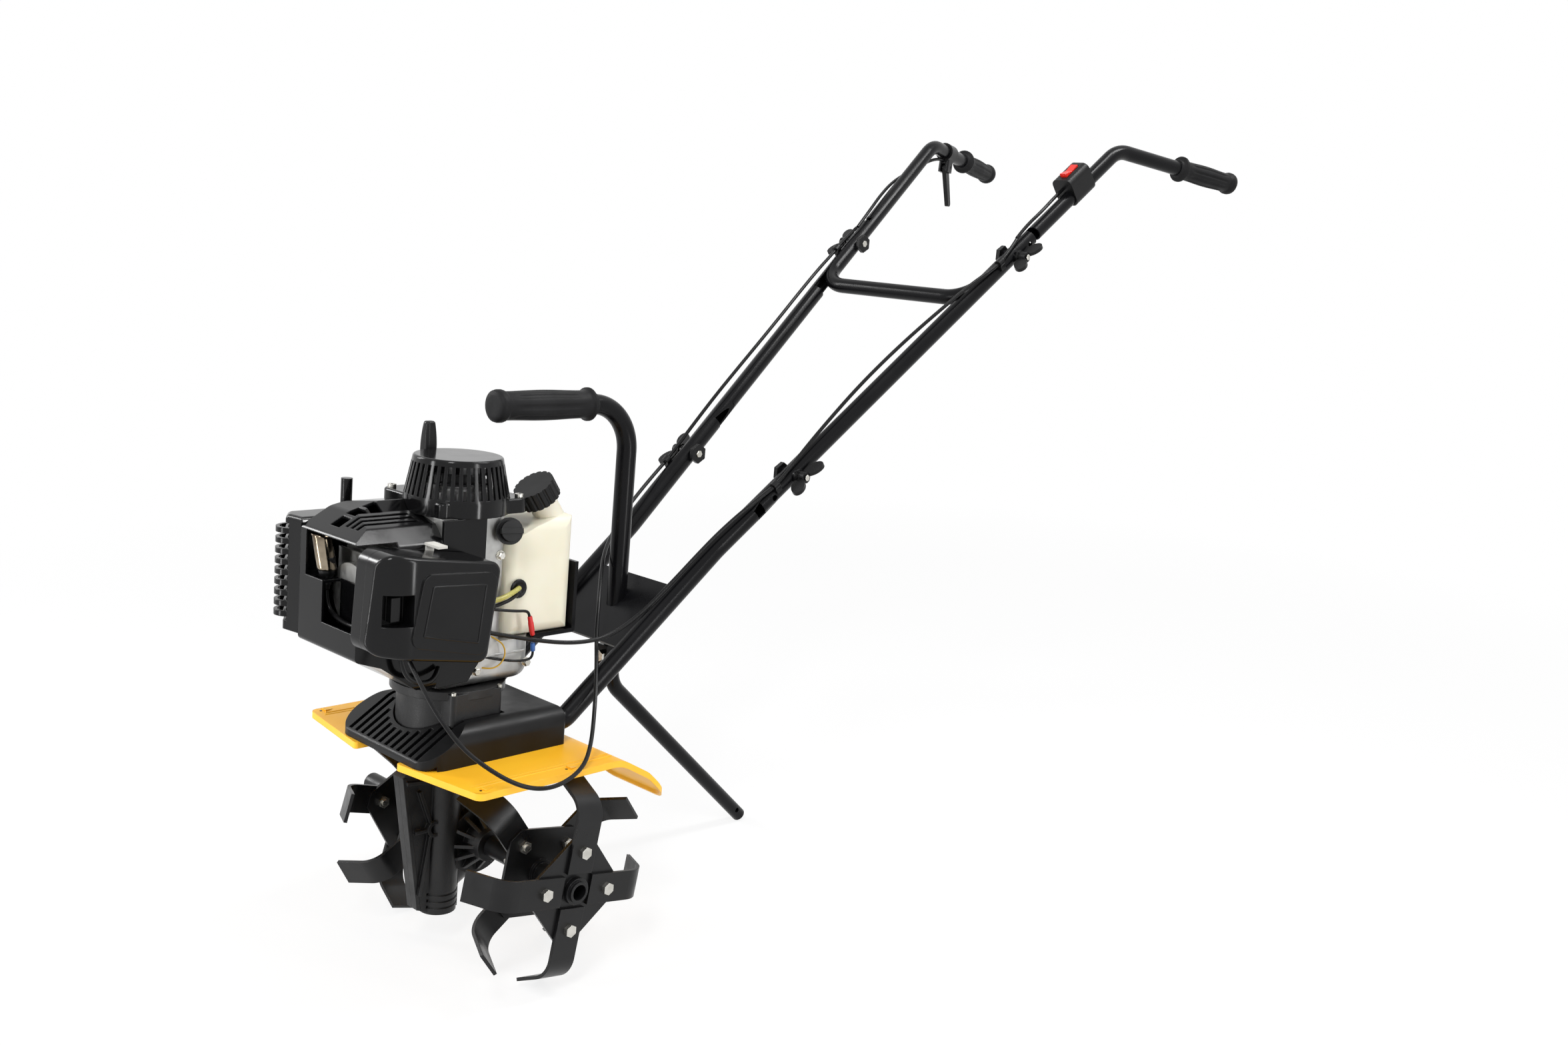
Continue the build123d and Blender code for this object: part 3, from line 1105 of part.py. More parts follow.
# Engine: crankcase with a finned barrel lying forward
block_low = profile(
    Plane((0, 0, BLOCK_FOOT_Z)),
    [(BLOCK_REAR_X, -BLOCK_HALF), (BLOCK_FRONT_X, -BLOCK_HALF), (BLOCK_FRONT_X, BLOCK_HALF),
     (BLOCK_REAR_X, BLOCK_HALF)],
    [30, 16, 16, 30],
)
block_high = profile(
    Plane((0, 0, BLOCK_STEP_Z)),
    [(BLOCK_WAIST_X, -BLOCK_HALF), (BLOCK_FRONT_X, -BLOCK_HALF), (BLOCK_FRONT_X, BLOCK_HALF),
     (BLOCK_WAIST_X, BLOCK_HALF)],
    [14, 3, 3, 14],
)
filler_axis = unit((0, 0, 0), FILLER_AXIS)
with BuildPart() as engine_block:
    extrude(block_low, amount=BLOCK_STEP_Z - BLOCK_FOOT_Z)
    fillet(engine_block.faces().sort_by(Axis.Z)[0].edges(), 12)
    extrude(block_high, amount=BLOCK_TOP_Z - BLOCK_STEP_Z)
    rod((BLOCK_FRONT_X - 1, 0, BARREL_Z), (1, 0, 0), BARREL_R, BARREL_END_X - BLOCK_FRONT_X + 1)
    for fin in range(FIN_COUNT):
        fin_x = BLOCK_FRONT_X + 8 + fin * 10
        block(fin_x, fin_x + FIN_T, -FIN_SIZE / 2, FIN_SIZE / 2, BARREL_Z - FIN_SIZE / 2,
              BARREL_Z + FIN_SIZE / 2)
    rod(along(FILLER_SEAT, filler_axis, -14), filler_axis, FILLER_STEM_R + 4, 14)
    rod(along(FILLER_SEAT, filler_axis, -12), filler_axis, FILLER_STEM_R + RUN_FIT, 14, Mode.SUBTRACT)
    rod((CRANK_X, 0, BLOCK_FOOT_Z), (0, 0, 1), CRANK_R + 2, BLOCK_TOP_Z - BLOCK_FOOT_Z, Mode.SUBTRACT)
    rod((CRANK_X, 0, BLOCK_FOOT_Z), (0, 0, 1), CRANK_RING_R + SEAT_FIT, CRANK_RING_W + 4, Mode.SUBTRACT)
    rod((CRANK_X, 0, BLOCK_TOP_Z), (0, 0, -1), CRANK_RING_R + SEAT_FIT, CRANK_RING_W + 4, Mode.SUBTRACT)
finish(engine_block, "engine_block")

# Shroud round the barrel
shroud_body = crossed(
    profile(Plane.XZ, SHROUD_SIDE, SHROUD_SIDE_R),
    profile(Plane.YZ, SHROUD_ARCH, SHROUD_ARCH_R),
)
shroud_room = crossed(
    profile(Plane.XZ, SHROUD_ROOM_SIDE, SHROUD_ROOM_SIDE_R),
    profile(Plane.YZ, SHROUD_ROOM_ARCH, SHROUD_ROOM_ARCH_R),
)
with BuildPart() as engine_shroud:
    add(shroud_body)
    add(shroud_room, mode=Mode.SUBTRACT)
    block(SIDE_PANEL_X, SHROUD_REAR_X + 2, BLOCK_HALF + SEAT_FIT, SHROUD_LEFT_Y, SIDE_PANEL_Z, BLOCK_TOP_Z)
    rod((CRANK_X, 0, BLOCK_TOP_Z), (0, 0, 1), COVER_CONE_FOOT_R + LAP_GAP, 60, Mode.SUBTRACT)
    block(SHROUD_FRONT_X - 22, SHROUD_FRONT_X - 1, SHROUD_RIGHT_Y + 2, SHROUD_LEFT_Y - 2,
          SHROUD_LEDGE_Z - SHROUD_T, SHROUD_LEDGE_Z)
    block(SHROUD_FRONT_X - 50, SHROUD_FRONT_X + 5, SHROUD_RIGHT_Y + 12, SHROUD_LEFT_Y + 5,
          SHROUD_LEDGE_Z, SHROUD_LEDGE_Z + 50, Mode.SUBTRACT)
    block(SHROUD_FRONT_X - 23, SHROUD_FRONT_X + 5, -15, SHROUD_LEFT_Y + 5,
          SHROUD_LEDGE_Z - 46, SHROUD_LEDGE_Z + 1, Mode.SUBTRACT)
    block(SHROUD_REAR_X - 2, SHROUD_REAR_X + 5, -FIN_SIZE / 2 - 2, FIN_SIZE / 2 + 2,
          BARREL_Z - FIN_SIZE / 2 - 2, BARREL_Z + FIN_SIZE / 2 + 2, Mode.SUBTRACT)
    block(POCKET_BACK_X - POCKET_BACK_T, POCKET_BACK_X, -15, SHROUD_LEFT_Y - 1, POCKET_FOOT_Z,
          SHROUD_LEDGE_Z)
    skirt_face = profile(Plane.XZ.offset(-(BLOCK_HALF + SEAT_FIT)), SKIRT, [0, 4, 4, 4, 0])
    extrude(skirt_face, amount=-(SHROUD_LEFT_Y - BLOCK_HALF - SEAT_FIT))
    for window in WINDOW_X:
        block(window, window + WINDOW_SIZE, WINDOW_Y[0], WINDOW_Y[1], 380, 425, Mode.SUBTRACT)
    for slot in (0, 10, 20):
        block(108, 184, slot, slot + 5.5, 380, 425, Mode.SUBTRACT)
    rod((PLUG_X, PLUG_Y, SHROUD_LEDGE_Z - 10), (0, 0, 1), PLUG_SHIELD_R + 1, 20, Mode.SUBTRACT)
    block(CARB_X - 21, CARB_X + 21, SHROUD_LEFT_Y - 8, SHROUD_LEFT_Y + 5, CARB_Z - 21, CARB_Z + 21,
          Mode.SUBTRACT)
    rod((MUFFLER_X[0] + 34, SHROUD_RIGHT_Y - 5, BARREL_Z), (0, 1, 0), 13, 12, Mode.SUBTRACT)
finish(engine_shroud, "engine_shroud")

# Muffler and its guard
with BuildPart() as muffler:
    block(MUFFLER_X[0], MUFFLER_X[1], MUFFLER_Y[0], MUFFLER_Y[1], MUFFLER_Z[0], MUFFLER_Z[1])
    fillet(muffler.edges(), 8)
    rod((MUFFLER_X[0] + 34, -FIN_SIZE / 2, BARREL_Z), (0, -1, 0), 12, 30)
finish(muffler, "muffler")

guard_plan = profile(
    Plane((0, 0, GUARD_Z[0])),
    [(GUARD_X[0], SHROUD_RIGHT_Y), (GUARD_X[1] - 4, SHROUD_RIGHT_Y), (GUARD_X[1], GUARD_Y[0] + 18),
     (GUARD_X[1] - 12, GUARD_Y[0]), (GUARD_X[0], GUARD_Y[0])],
    [0, 0, 6, 8, 14],
)
guard_room = profile(
    Plane((0, 0, GUARD_Z[0] + GUARD_T)),
    [(GUARD_X[0] + GUARD_T, SHROUD_RIGHT_Y + 5), (GUARD_X[1] - 4 - GUARD_T, SHROUD_RIGHT_Y + 5),
     (GUARD_X[1] - GUARD_T, GUARD_Y[0] + 18), (GUARD_X[1] - 13, GUARD_Y[0] + GUARD_T),
     (GUARD_X[0] + GUARD_T, GUARD_Y[0] + GUARD_T)],
    [0, 0, 4, 6, 11],
)
bar_pitch = (GUARD_Z[1] - GUARD_Z[0] - 12) / (GUARD_BARS + 1)
with BuildPart() as muffler_guard:
    extrude(guard_plan, amount=GUARD_Z[1] - GUARD_Z[0])
    guard_top = muffler_guard.faces().sort_by(Axis.Z)[-1]
    fillet(guard_top.edges().filter_by(Axis.X), 6)
    for gap in range(GUARD_BARS + 1):
        low = GUARD_Z[0] + 6 + gap * bar_pitch + bar_pitch * 0.25
        block(GUARD_X[1] - 44, GUARD_X[1] + 5, GUARD_Y[0] - 5, GUARD_Y[0] + 24, low, low + bar_pitch * 0.5,
              Mode.SUBTRACT)
    for bar in range(GUARD_BARS):
        low = GUARD_Z[0] + 6 + (bar + 0.75) * bar_pitch
        with BuildSketch(Plane((GUARD_X[1] - 18, GUARD_Y[0] + 12, low))):
            Ellipse(24, 19)
            Ellipse(20, 15, mode=Mode.SUBTRACT)
        extrude(amount=bar_pitch * 0.5)
    extrude(guard_room, amount=GUARD_Z[1] - GUARD_Z[0] - 2 * GUARD_T, mode=Mode.SUBTRACT)
    rod((GUARD_X[0] + 27, GUARD_Y[0] + 11, GUARD_Z[1] - 1), (0, 0, 1), 6.5, 36)
finish(muffler_guard, "muffler_guard")

# Recoil starter on top
flange_plan = profile(
    Plane((0, 0, BLOCK_TOP_Z)),
    [(COVER_FLANGE_X[0], COVER_FLANGE_Y[0]), (COVER_FLANGE_X[1], COVER_FLANGE_Y[0]),
     (COVER_FLANGE_X[1], COVER_FLANGE_Y[1]), (COVER_FLANGE_X[0], COVER_FLANGE_Y[1])],
    [14, 14, 8, 14],
)
cone_drop = COVER_TOP_Z - COVER_FLANGE_TOP_Z
with BuildPart() as recoil_cover:
    extrude(flange_plan, amount=COVER_FLANGE_TOP_Z - BLOCK_TOP_Z)
    fillet(recoil_cover.faces().sort_by(Axis.Z)[-1].edges(), 3)
    with BuildSketch(Plane.XZ):
        with BuildLine():
            Polyline((CRANK_X, BLOCK_TOP_Z), (CRANK_X + COVER_CONE_FOOT_R, BLOCK_TOP_Z),
                     (CRANK_X + COVER_CONE_FOOT_R, COVER_FLANGE_TOP_Z),
                     (CRANK_X + COVER_CONE_TOP_R, COVER_TOP_Z), (CRANK_X, COVER_TOP_Z), close=True)
        make_face()
    revolve(axis=Axis((CRANK_X, 0, 0), (0, 0, 1)))
    fillet(recoil_cover.faces().sort_by(Axis.Z)[-1].edges(), 3)
    block(PULL_X - 11, PULL_X + 11, PULL_Y - 10, PULL_Y + 22, COVER_FLANGE_TOP_Z, PULL_SEAT_Z)
    with BuildSketch(Plane.XZ):
        with BuildLine():
            Polyline((CRANK_X, BLOCK_TOP_Z), (CRANK_X + FLYWHEEL_R + 2, BLOCK_TOP_Z),
                     (CRANK_X + FLYWHEEL_R + 2, BLOCK_TOP_Z + 3),
                     (CRANK_X + COVER_CONE_FOOT_R - COVER_T, BLOCK_TOP_Z + 3),
                     (CRANK_X + COVER_CONE_FOOT_R - COVER_T, COVER_FLANGE_TOP_Z),
                     (CRANK_X + COVER_CONE_TOP_R - COVER_T, COVER_TOP_Z - COVER_T),
                     (CRANK_X, COVER_TOP_Z - COVER_T), close=True)
        make_face()
    revolve(axis=Axis((CRANK_X, 0, 0), (0, 0, 1)), mode=Mode.SUBTRACT)
    with BuildSketch(Plane((CRANK_X, 0, COVER_FLANGE_TOP_Z + 3))):
        with PolarLocations(COVER_CONE_TOP_R + 5, COVER_SLOTS):
            Rectangle(18, COVER_SLOT_W)
        with Locations((PULL_X - CRANK_X, PULL_Y)):
            Rectangle(26, 40, mode=Mode.SUBTRACT)
    extrude(amount=cone_drop - 10, mode=Mode.SUBTRACT)
    rod((CRANK_X, 0, REEL_Z[0] - 2), (0, 0, 1), REEL_POST_R, COVER_TOP_Z - REEL_Z[0])
    rod((PULL_X, PULL_Y, COVER_FLANGE_TOP_Z + 8), (0, 0, 1), 2.6, 40, Mode.SUBTRACT)
finish(recoil_cover, "recoil_cover")

with BuildPart() as starter_reel:
    rod((CRANK_X, 0, REEL_Z[0]), (0, 0, 1), REEL_R, REEL_Z[1] - REEL_Z[0])
    with BuildSketch(Plane.XZ):
        with Locations((CRANK_X + REEL_R, (REEL_Z[0] + REEL_Z[1]) / 2)):
            Rectangle(16, REEL_Z[1] - REEL_Z[0] - 5)
    revolve(axis=Axis((CRANK_X, 0, 0), (0, 0, 1)), mode=Mode.SUBTRACT)
    rod((CRANK_X, 0, REEL_Z[0]), (0, 0, 1), REEL_POST_R + RUN_FIT, 30, Mode.SUBTRACT)
finish(starter_reel, "starter_reel")

with BuildPart() as starter_grip:
    with BuildSketch(Plane((PULL_X, PULL_Y, PULL_SEAT_Z))):
        RectangleRounded(14, 14, 4)
    with BuildSketch(Plane((PULL_X, PULL_Y, PULL_TOP_Z - 16))):
        RectangleRounded(16, 14, 5)
    with BuildSketch(Plane((PULL_X, PULL_Y, PULL_TOP_Z))):
        RectangleRounded(12, 10, 4)
    loft()
    fillet(starter_grip.faces().sort_by(Axis.Z)[-1].edges(), 3)
finish(starter_grip, "starter_grip")

# Fuel tank, cap and strap
tank_side = [(TANK_REAR_X, BLOCK_STEP_Z), (TANK_FRONT_X, BLOCK_STEP_Z), (TANK_FRONT_X, TANK_TOP_Z - 28),
             (TANK_FRONT_X - 40, TANK_TOP_Z - 12), (TANK_REAR_X + 14, TANK_TOP_Z),
             (TANK_REAR_X, TANK_TOP_Z - 6)]
tank_front = [(-TANK_HALF, BLOCK_STEP_Z), (TANK_HALF, BLOCK_STEP_Z), (TANK_HALF, TANK_TOP_Z),
              (-TANK_HALF, TANK_TOP_Z)]
tank_plan = [(TANK_REAR_X, -TANK_HALF), (TANK_FRONT_X, -TANK_HALF), (TANK_FRONT_X, TANK_HALF),
             (TANK_REAR_X, TANK_HALF)]


def tank_solid(inset):
    """The tank's outside, or its room when inset by the wall."""
    sketches = []
    for plane, points, radii in (
        (Plane.XZ, tank_side, [12, 10, 14, 20, 10, 4]),
        (Plane.YZ, tank_front, [14, 14, 18, 18]),
        (Plane.XY, tank_plan, [22, 16, 16, 22]),
    ):
        sketches.append(profile(plane, points, radii, inset))
    with BuildPart() as solid:
        extrude(sketches[0], amount=400, both=True)
        extrude(sketches[1], amount=400, both=True, mode=Mode.INTERSECT)
        extrude(sketches[2], amount=800, both=True, mode=Mode.INTERSECT)
    return solid.part


neck_axis = (sin(radians(NECK_TILT)), 0, cos(radians(NECK_TILT)))
tank_body = tank_solid(0)
tank_room = tank_solid(TANK_T)
with BuildPart() as fuel_tank:
    add(tank_body)
    rod(along(FUEL_CAP_SEAT, neck_axis, -40), neck_axis, NECK_R, 54)
    add(tank_room, mode=Mode.SUBTRACT)
    rod(along(FUEL_CAP_SEAT, neck_axis, -40), neck_axis, NECK_R - 4, 60, Mode.SUBTRACT)
finish(fuel_tank, "fuel_tank")

with BuildPart() as fuel_cap:
    with BuildSketch(Plane(FUEL_CAP_SEAT, z_dir=neck_axis)):
        Circle(FUEL_CAP_R)
        with PolarLocations(FUEL_CAP_R + 0.8, 18):
            Circle(2.2, mode=Mode.SUBTRACT)
    extrude(amount=FUEL_CAP_T)
    rod(FUEL_CAP_SEAT, neck_axis, NECK_R + RUN_FIT, 16, Mode.SUBTRACT)
finish(fuel_cap, "fuel_cap")

with BuildPart() as tank_bracket:
    block(TANK_REAR_X - STRAP_T, TANK_REAR_X, -STRAP_HALF, STRAP_HALF, BLOCK_STEP_Z - STRAP_T, STRAP_TOP_Z)
    block(TANK_REAR_X - STRAP_T, BLOCK_REAR_X, -STRAP_HALF, STRAP_HALF, BLOCK_STEP_Z - STRAP_T, BLOCK_STEP_Z)
    fillet(tank_bracket.edges().filter_by(Axis.Y).group_by(Axis.X)[0].sort_by(Axis.Z)[0], 4)
finish(tank_bracket, "tank_bracket")

with BuildPart() as filler_cap:
    rod(FILLER_SEAT, filler_axis, FILLER_R, 5)
    rod(FILLER_SEAT, filler_axis, FILLER_STEM_R + 3, FILLER_T)
    with BuildSketch(Plane(along(FILLER_SEAT, filler_axis, 4), x_dir=(0, 0, 1), z_dir=filler_axis)):
        Rectangle(6, 2 * FILLER_R - 5)
    extrude(amount=FILLER_T - 1)
    rod(along(FILLER_SEAT, filler_axis, -10), filler_axis, FILLER_STEM_R, 11)
finish(filler_cap, "filler_cap")

# Carburettor and air filter
with BuildPart() as carburettor:
    block(CARB_X - 20, CARB_X + 20, FIN_SIZE / 2, FILTER_BACK_Y, CARB_Z - 20, CARB_Z + 20)
    fillet(carburettor.edges().filter_by(Axis.Y), 6)
finish(carburettor, "carburettor")

filter_side = profile(Plane.XZ, FILTER_SIDE, FILTER_SIDE_R)
filter_plan = profile(
    Plane.XY,
    [(40, FILTER_BACK_Y), (FILTER_NOSE_X, FILTER_BACK_Y), (FILTER_NOSE_X, FILTER_FACE_Y),
     (40, FILTER_FACE_Y)],
    [0, 0, FILTER_NOSE_R, 0],
)
filter_side_in = profile(Plane.XZ, FILTER_SIDE, FILTER_SIDE_R, FILTER_T)
filter_plan_in = profile(
    Plane.XY,
    [(40, FILTER_BACK_Y + FILTER_T), (FILTER_NOSE_X - FILTER_T, FILTER_BACK_Y + FILTER_T),
     (FILTER_NOSE_X - FILTER_T, FILTER_FACE_Y - FILTER_T), (40, FILTER_FACE_Y - FILTER_T)],
    [0, 0, FILTER_NOSE_R - FILTER_T, 0],
)
filter_body = crossed(filter_side, filter_plan)
filter_room = crossed(filter_side_in, filter_plan_in)
panel = profile(Plane.XZ.offset(-FILTER_FACE_Y + 0.5), FILTER_PANEL, [12, 12, 12, 12])
split_far = 200
with BuildPart() as filter_case:
    add(filter_body)
    add(filter_room, mode=Mode.SUBTRACT)
    block(0, 300, FILTER_SPLIT_Y, split_far, 200, 450, Mode.SUBTRACT)
    rod((CHOKE_X, FILTER_BACK_Y - 1, CHOKE_Z), (0, 1, 0), 3 + RUN_FIT, 6, Mode.SUBTRACT)
finish(filter_case, "filter_case")

with BuildPart() as clip_wall:
    add(filter_body)
    block(FILTER_NOSE_X - 47, FILTER_NOSE_X - 11, 86, 130, 303, 343, Mode.INTERSECT)
with BuildPart() as filter_cover:
    add(filter_body)
    fillet(filter_cover.edges().group_by(Axis.Y)[-1], 5)
    extrude(panel, amount=-FILTER_PANEL_T - 0.5)
    add(filter_room, mode=Mode.SUBTRACT)
    block(0, 300, 0, FILTER_SPLIT_Y, 200, 450, Mode.SUBTRACT)
    add(clip_wall.part)
    block(FILTER_NOSE_X - 44, FILTER_NOSE_X - 14, 90, 130, 306, 340, Mode.SUBTRACT)
    block(FILTER_NOSE_X - 35, FILTER_NOSE_X - 24, 89, 99, 310, 336)
finish(filter_cover, "filter_cover")

with BuildPart() as choke_lever:
    lever_y = SHROUD_LEFT_Y + 0.4
    block(CHOKE_X - 5, CHOKE_X + 5, lever_y, FILTER_BACK_Y - 0.3, CHOKE_Z - 6, CHOKE_TOP_Z)
    rod((CHOKE_X, lever_y, CHOKE_Z), (0, 1, 0), 3, FILTER_BACK_Y + 2 - lever_y)
    block(CHOKE_X - 6, CHOKE_X + 6, lever_y, FILTER_SPLIT_Y + 6, CHOKE_TOP_Z - 3, CHOKE_TOP_Z)
finish(choke_lever, "choke_lever")

# Spark plug cap: metal shield round a rubber boot, and its lead
with BuildPart() as plug_cap:
    rod((PLUG_X, PLUG_Y, PLUG_SHIELD_Z[0]), (0, 0, 1), PLUG_SHIELD_R, PLUG_SHIELD_Z[1] - PLUG_SHIELD_Z[0])
    rod((PLUG_X, PLUG_Y, PLUG_SHIELD_Z[0]), (0, 0, 1), PLUG_SHIELD_R - 1.2, 60, Mode.SUBTRACT)
    with BuildSketch(Plane((PLUG_X, PLUG_Y, PLUG_BOOT_Z))):
        Circle(5.5)
    with BuildSketch(Plane((PLUG_X, PLUG_Y, PLUG_SHIELD_Z[0] - 6))):
        Circle(PLUG_SHIELD_R - 1.2 - RUN_FIT)
    with BuildSketch(Plane((PLUG_X, PLUG_Y, PLUG_SHIELD_Z[0] + 14))):
        Circle(PLUG_SHIELD_R - 1.2 - RUN_FIT)
    loft(ruled=True)
finish(plug_cap, "plug_cap")

# Stop switch on the left leg and its rocker
leg = unit(bar_corner, BAR_KNEE)
switch_at = along(JOINT_HIGH, leg, SWITCH_BACK)
leg_up = (Vector(0, 0, 1) - Vector(*leg) * leg[2]).normalized()
leg_in = leg_up.cross(Vector(*leg))
switch_face = Plane(along(switch_at, leg, -SWITCH_LENGTH / 2), x_dir=leg_in, z_dir=leg)
rocker_at = Vector(*switch_at) + leg_up * ROCKER_RISE + leg_in * SWITCH_SHIFT[0]
with BuildPart() as switch_housing:
    with BuildSketch(switch_face):
        with Locations(SWITCH_SHIFT):
            RectangleRounded(SWITCH_WIDTH, SWITCH_HEIGHT, 10)
        Circle(BAR_R + SEAT_FIT, mode=Mode.SUBTRACT)
    extrude(amount=SWITCH_LENGTH)
    with BuildSketch(Plane(rocker_at - leg_up * 4, x_dir=leg, z_dir=leg_up)):
        Rectangle(ROCKER_LENGTH + 3, ROCKER_WIDTH + 1)
    extrude(amount=30, mode=Mode.SUBTRACT)
    rod(tuple(rocker_at - leg_in * 9), tuple(leg_in), ROCKER_PIN_R + RUN_FIT, 18, Mode.SUBTRACT)
finish(switch_housing, "switch_housing")

rocker_half = ROCKER_LENGTH / 2
with BuildPart() as stop_rocker:
    with BuildSketch(Plane(rocker_at, x_dir=leg, z_dir=-leg_in)):
        with BuildLine():
            Polyline((-rocker_half, 1), (-rocker_half, 9), (0, 5), (rocker_half, 6.5), (rocker_half, 1),
                     (4, -3), (-4, -3), close=True)
        make_face()
    extrude(amount=ROCKER_WIDTH / 2, both=True)
    rod(tuple(rocker_at - leg_in * 8.5), tuple(leg_in), ROCKER_PIN_R, 17)
finish(stop_rocker, "stop_rocker")

# Throttle clamp and lever on the right grip run
right_knee = other_side(BAR_KNEE)
right_run = unit(right_knee, other_side(BAR_END))
clamp_at = along(right_knee, right_run, LEVER_AHEAD)
run_up = (Vector(0, 0, 1) - Vector(*right_run) * right_run[2]).normalized()
run_side = run_up.cross(Vector(*right_run))
lever_pin = Vector(*clamp_at) - run_up * LEVER_DROP
with BuildPart() as throttle_mount:
    rod(along(clamp_at, right_run, -CLAMP_WIDTH / 2), right_run, BAR_R + 4, CLAMP_WIDTH)
    with BuildSketch(Plane(clamp_at, x_dir=right_run, z_dir=-run_up)):
        RectangleRounded(CLAMP_WIDTH - 4, 18, 4)
    extrude(amount=LEVER_DROP + 8)
    rod(along(clamp_at, right_run, -CLAMP_WIDTH), right_run, BAR_R + SEAT_FIT, 2 * CLAMP_WIDTH, Mode.SUBTRACT)
    with BuildSketch(Plane(lever_pin + run_up * 9, x_dir=right_run, z_dir=-run_up)):
        Rectangle(CLAMP_WIDTH + 4, LEVER_T + 0.6)
    extrude(amount=30, mode=Mode.SUBTRACT)
    rod(tuple(lever_pin - run_side * 15), tuple(run_side), LEVER_PIN_R + RUN_FIT, 30, Mode.SUBTRACT)
finish(throttle_mount, "throttle_mount")

with BuildPart() as throttle_lever:
    with BuildSketch(Plane(lever_pin, x_dir=right_run, z_dir=-run_side)):
        Circle(7)
        with BuildLine():
            Polyline((-6.5, -2), (6.5, 2), (LEVER_TIP[0] + 4, LEVER_TIP[1] + 2),
                     (LEVER_TIP[0] - 4, LEVER_TIP[1] - 2), close=True)
        make_face()
        with Locations(LEVER_TIP):
            Circle(4.5)
    extrude(amount=LEVER_T / 2, both=True)
    rod(tuple(lever_pin - run_side * 8.5), tuple(run_side), LEVER_PIN_R, 17)
finish(throttle_lever, "throttle_lever")

# Clips that carry the cables on the middle tubes
clip_rise = MID_R + CLIP_R - CLIP_SINK
low_clip_s = -CLIP_LOW_BACK
high_clip_s = joint_gap - CLIP_HIGH_BACK
clip_lift = Vector(*plate_up) * clip_rise + Vector(0, CLIP_OUT, 0)
low_clip = Vector(*along(JOINT_LOW, slope, low_clip_s)) + clip_lift
high_clip = Vector(*along(JOINT_LOW, slope, high_clip_s)) + clip_lift
clip_solids = []
for clip_at in (low_clip, high_clip):
    clip_face = Plane(clip_at - Vector(*slope) * CLIP_WIDTH / 2, x_dir=plate_up, z_dir=slope)
    with BuildSketch(clip_face) as clip_ring:
        Circle(CLIP_R)
        with Locations((-CLIP_R, 0)):
            Rectangle(CLIP_R * 2, CLIP_R * 1.4)
        Circle(CABLE_R + RUN_FIT, mode=Mode.SUBTRACT)
    with BuildPart() as clip:
        extrude(clip_ring.sketch, amount=CLIP_WIDTH)
        rod(mid_start, slope, MID_R + SEAT_FIT, joint_gap + MID_OVER + MID_UNDER, Mode.SUBTRACT)
    clip_solids += [clip.part, clip.part.mirror(Plane.XZ)]
with BuildPart() as cable_clips:
    add(clip_solids)
finish(cable_clips, "cable_clips")

# Cables, cut where the handle folds
up = Vector(*plate_up)


def beside_tube(s, rise, out=0.0):
    """A point over the left middle tube, measured along it from the lower joint."""
    point = Vector(*along(JOINT_LOW, slope, s)) + up * rise + Vector(0, out, 0)
    return tuple(point)


clip_half = Vector(*slope) * (CLIP_WIDTH / 2)
clip_past = Vector(*slope) * (CLIP_WIDTH / 2 + CABLE_GAP)
low_in = tuple(low_clip - clip_past)
low_start = tuple(low_clip - clip_half)
throttle_route = THROTTLE_LOOP + [other_side(low_in)]
stop_route = STOP_RUN + [low_in]
print("throttle", [round(r) for r in bend_radii(throttle_route)])
print("stop", [round(r) for r in bend_radii(stop_route)])
throttle_solid = cable(throttle_route, CABLE_R)
stop_solid = cable(stop_route, LEAD_R)
with BuildPart() as throttle_cable:
    add(throttle_solid)
finish(throttle_cable, "throttle_cable")
with BuildPart() as stop_lead:
    add(stop_solid)
finish(stop_lead, "stop_lead")

mid_points = [low_start, tuple(low_clip + clip_half * 3)]
for s, rise, aside in MID_SLACK:
    mid_points.append(beside_tube(s, rise, aside))
mid_points.append(tuple(high_clip - clip_half * 3))
mid_points.append(tuple(high_clip + clip_half * 3))
mid_points.append(beside_tube(joint_gap + MID_CABLE_OVER, clip_rise + 2, CABLE_CROSS_OUT))
mid_right_points = [other_side(point) for point in mid_points]
print("mid", [round(r) for r in bend_radii(mid_points)])
mid_left_solid = cable(mid_points, LEAD_R)
mid_right_solid = cable(mid_right_points, CABLE_R)
with BuildPart() as mid_cables:
    add(mid_left_solid)
    add(mid_right_solid)
finish(mid_cables, "mid_cables")

switch_entry = Vector(*along(switch_at, leg, -SWITCH_LENGTH / 2)) + leg_up * 15 + leg_in * 7
switch_lead_in = switch_entry - Vector(*leg) * 25


def beside_leg(s, rise, aside):
    """A point beside the handlebar's left leg, measured along it from the upper joint."""
    point = Vector(*along(JOINT_HIGH, leg, s)) + leg_up * rise + Vector(0, aside, 0)
    return tuple(point)


top_route = [beside_leg(*place) for place in SWITCH_RUN]
top_route += [tuple(switch_lead_in), tuple(switch_entry)]
mount_face = along(clamp_at, right_run, -CLAMP_WIDTH / 2 - SEAT_FIT)
mount_entry = Vector(*mount_face) - run_up * (BAR_R + CABLE_R + CABLE_GAP)
mount_lead_in = mount_entry - Vector(*right_run) * 30
grip_route = [other_side(beside_leg(*place)) for place in LEVER_RUN]
grip_route += [tuple(mount_lead_in), tuple(mount_entry)]
print("top", [round(r) for r in bend_radii(top_route)])
print("grip", [round(r) for r in bend_radii(grip_route)])
top_solid = cable(top_route, LEAD_R)
grip_solid = cable(grip_route, CABLE_R)
with BuildPart() as handlebar_cables:
    add(top_solid)
    add(grip_solid)
finish(handlebar_cables, "handlebar_cables")

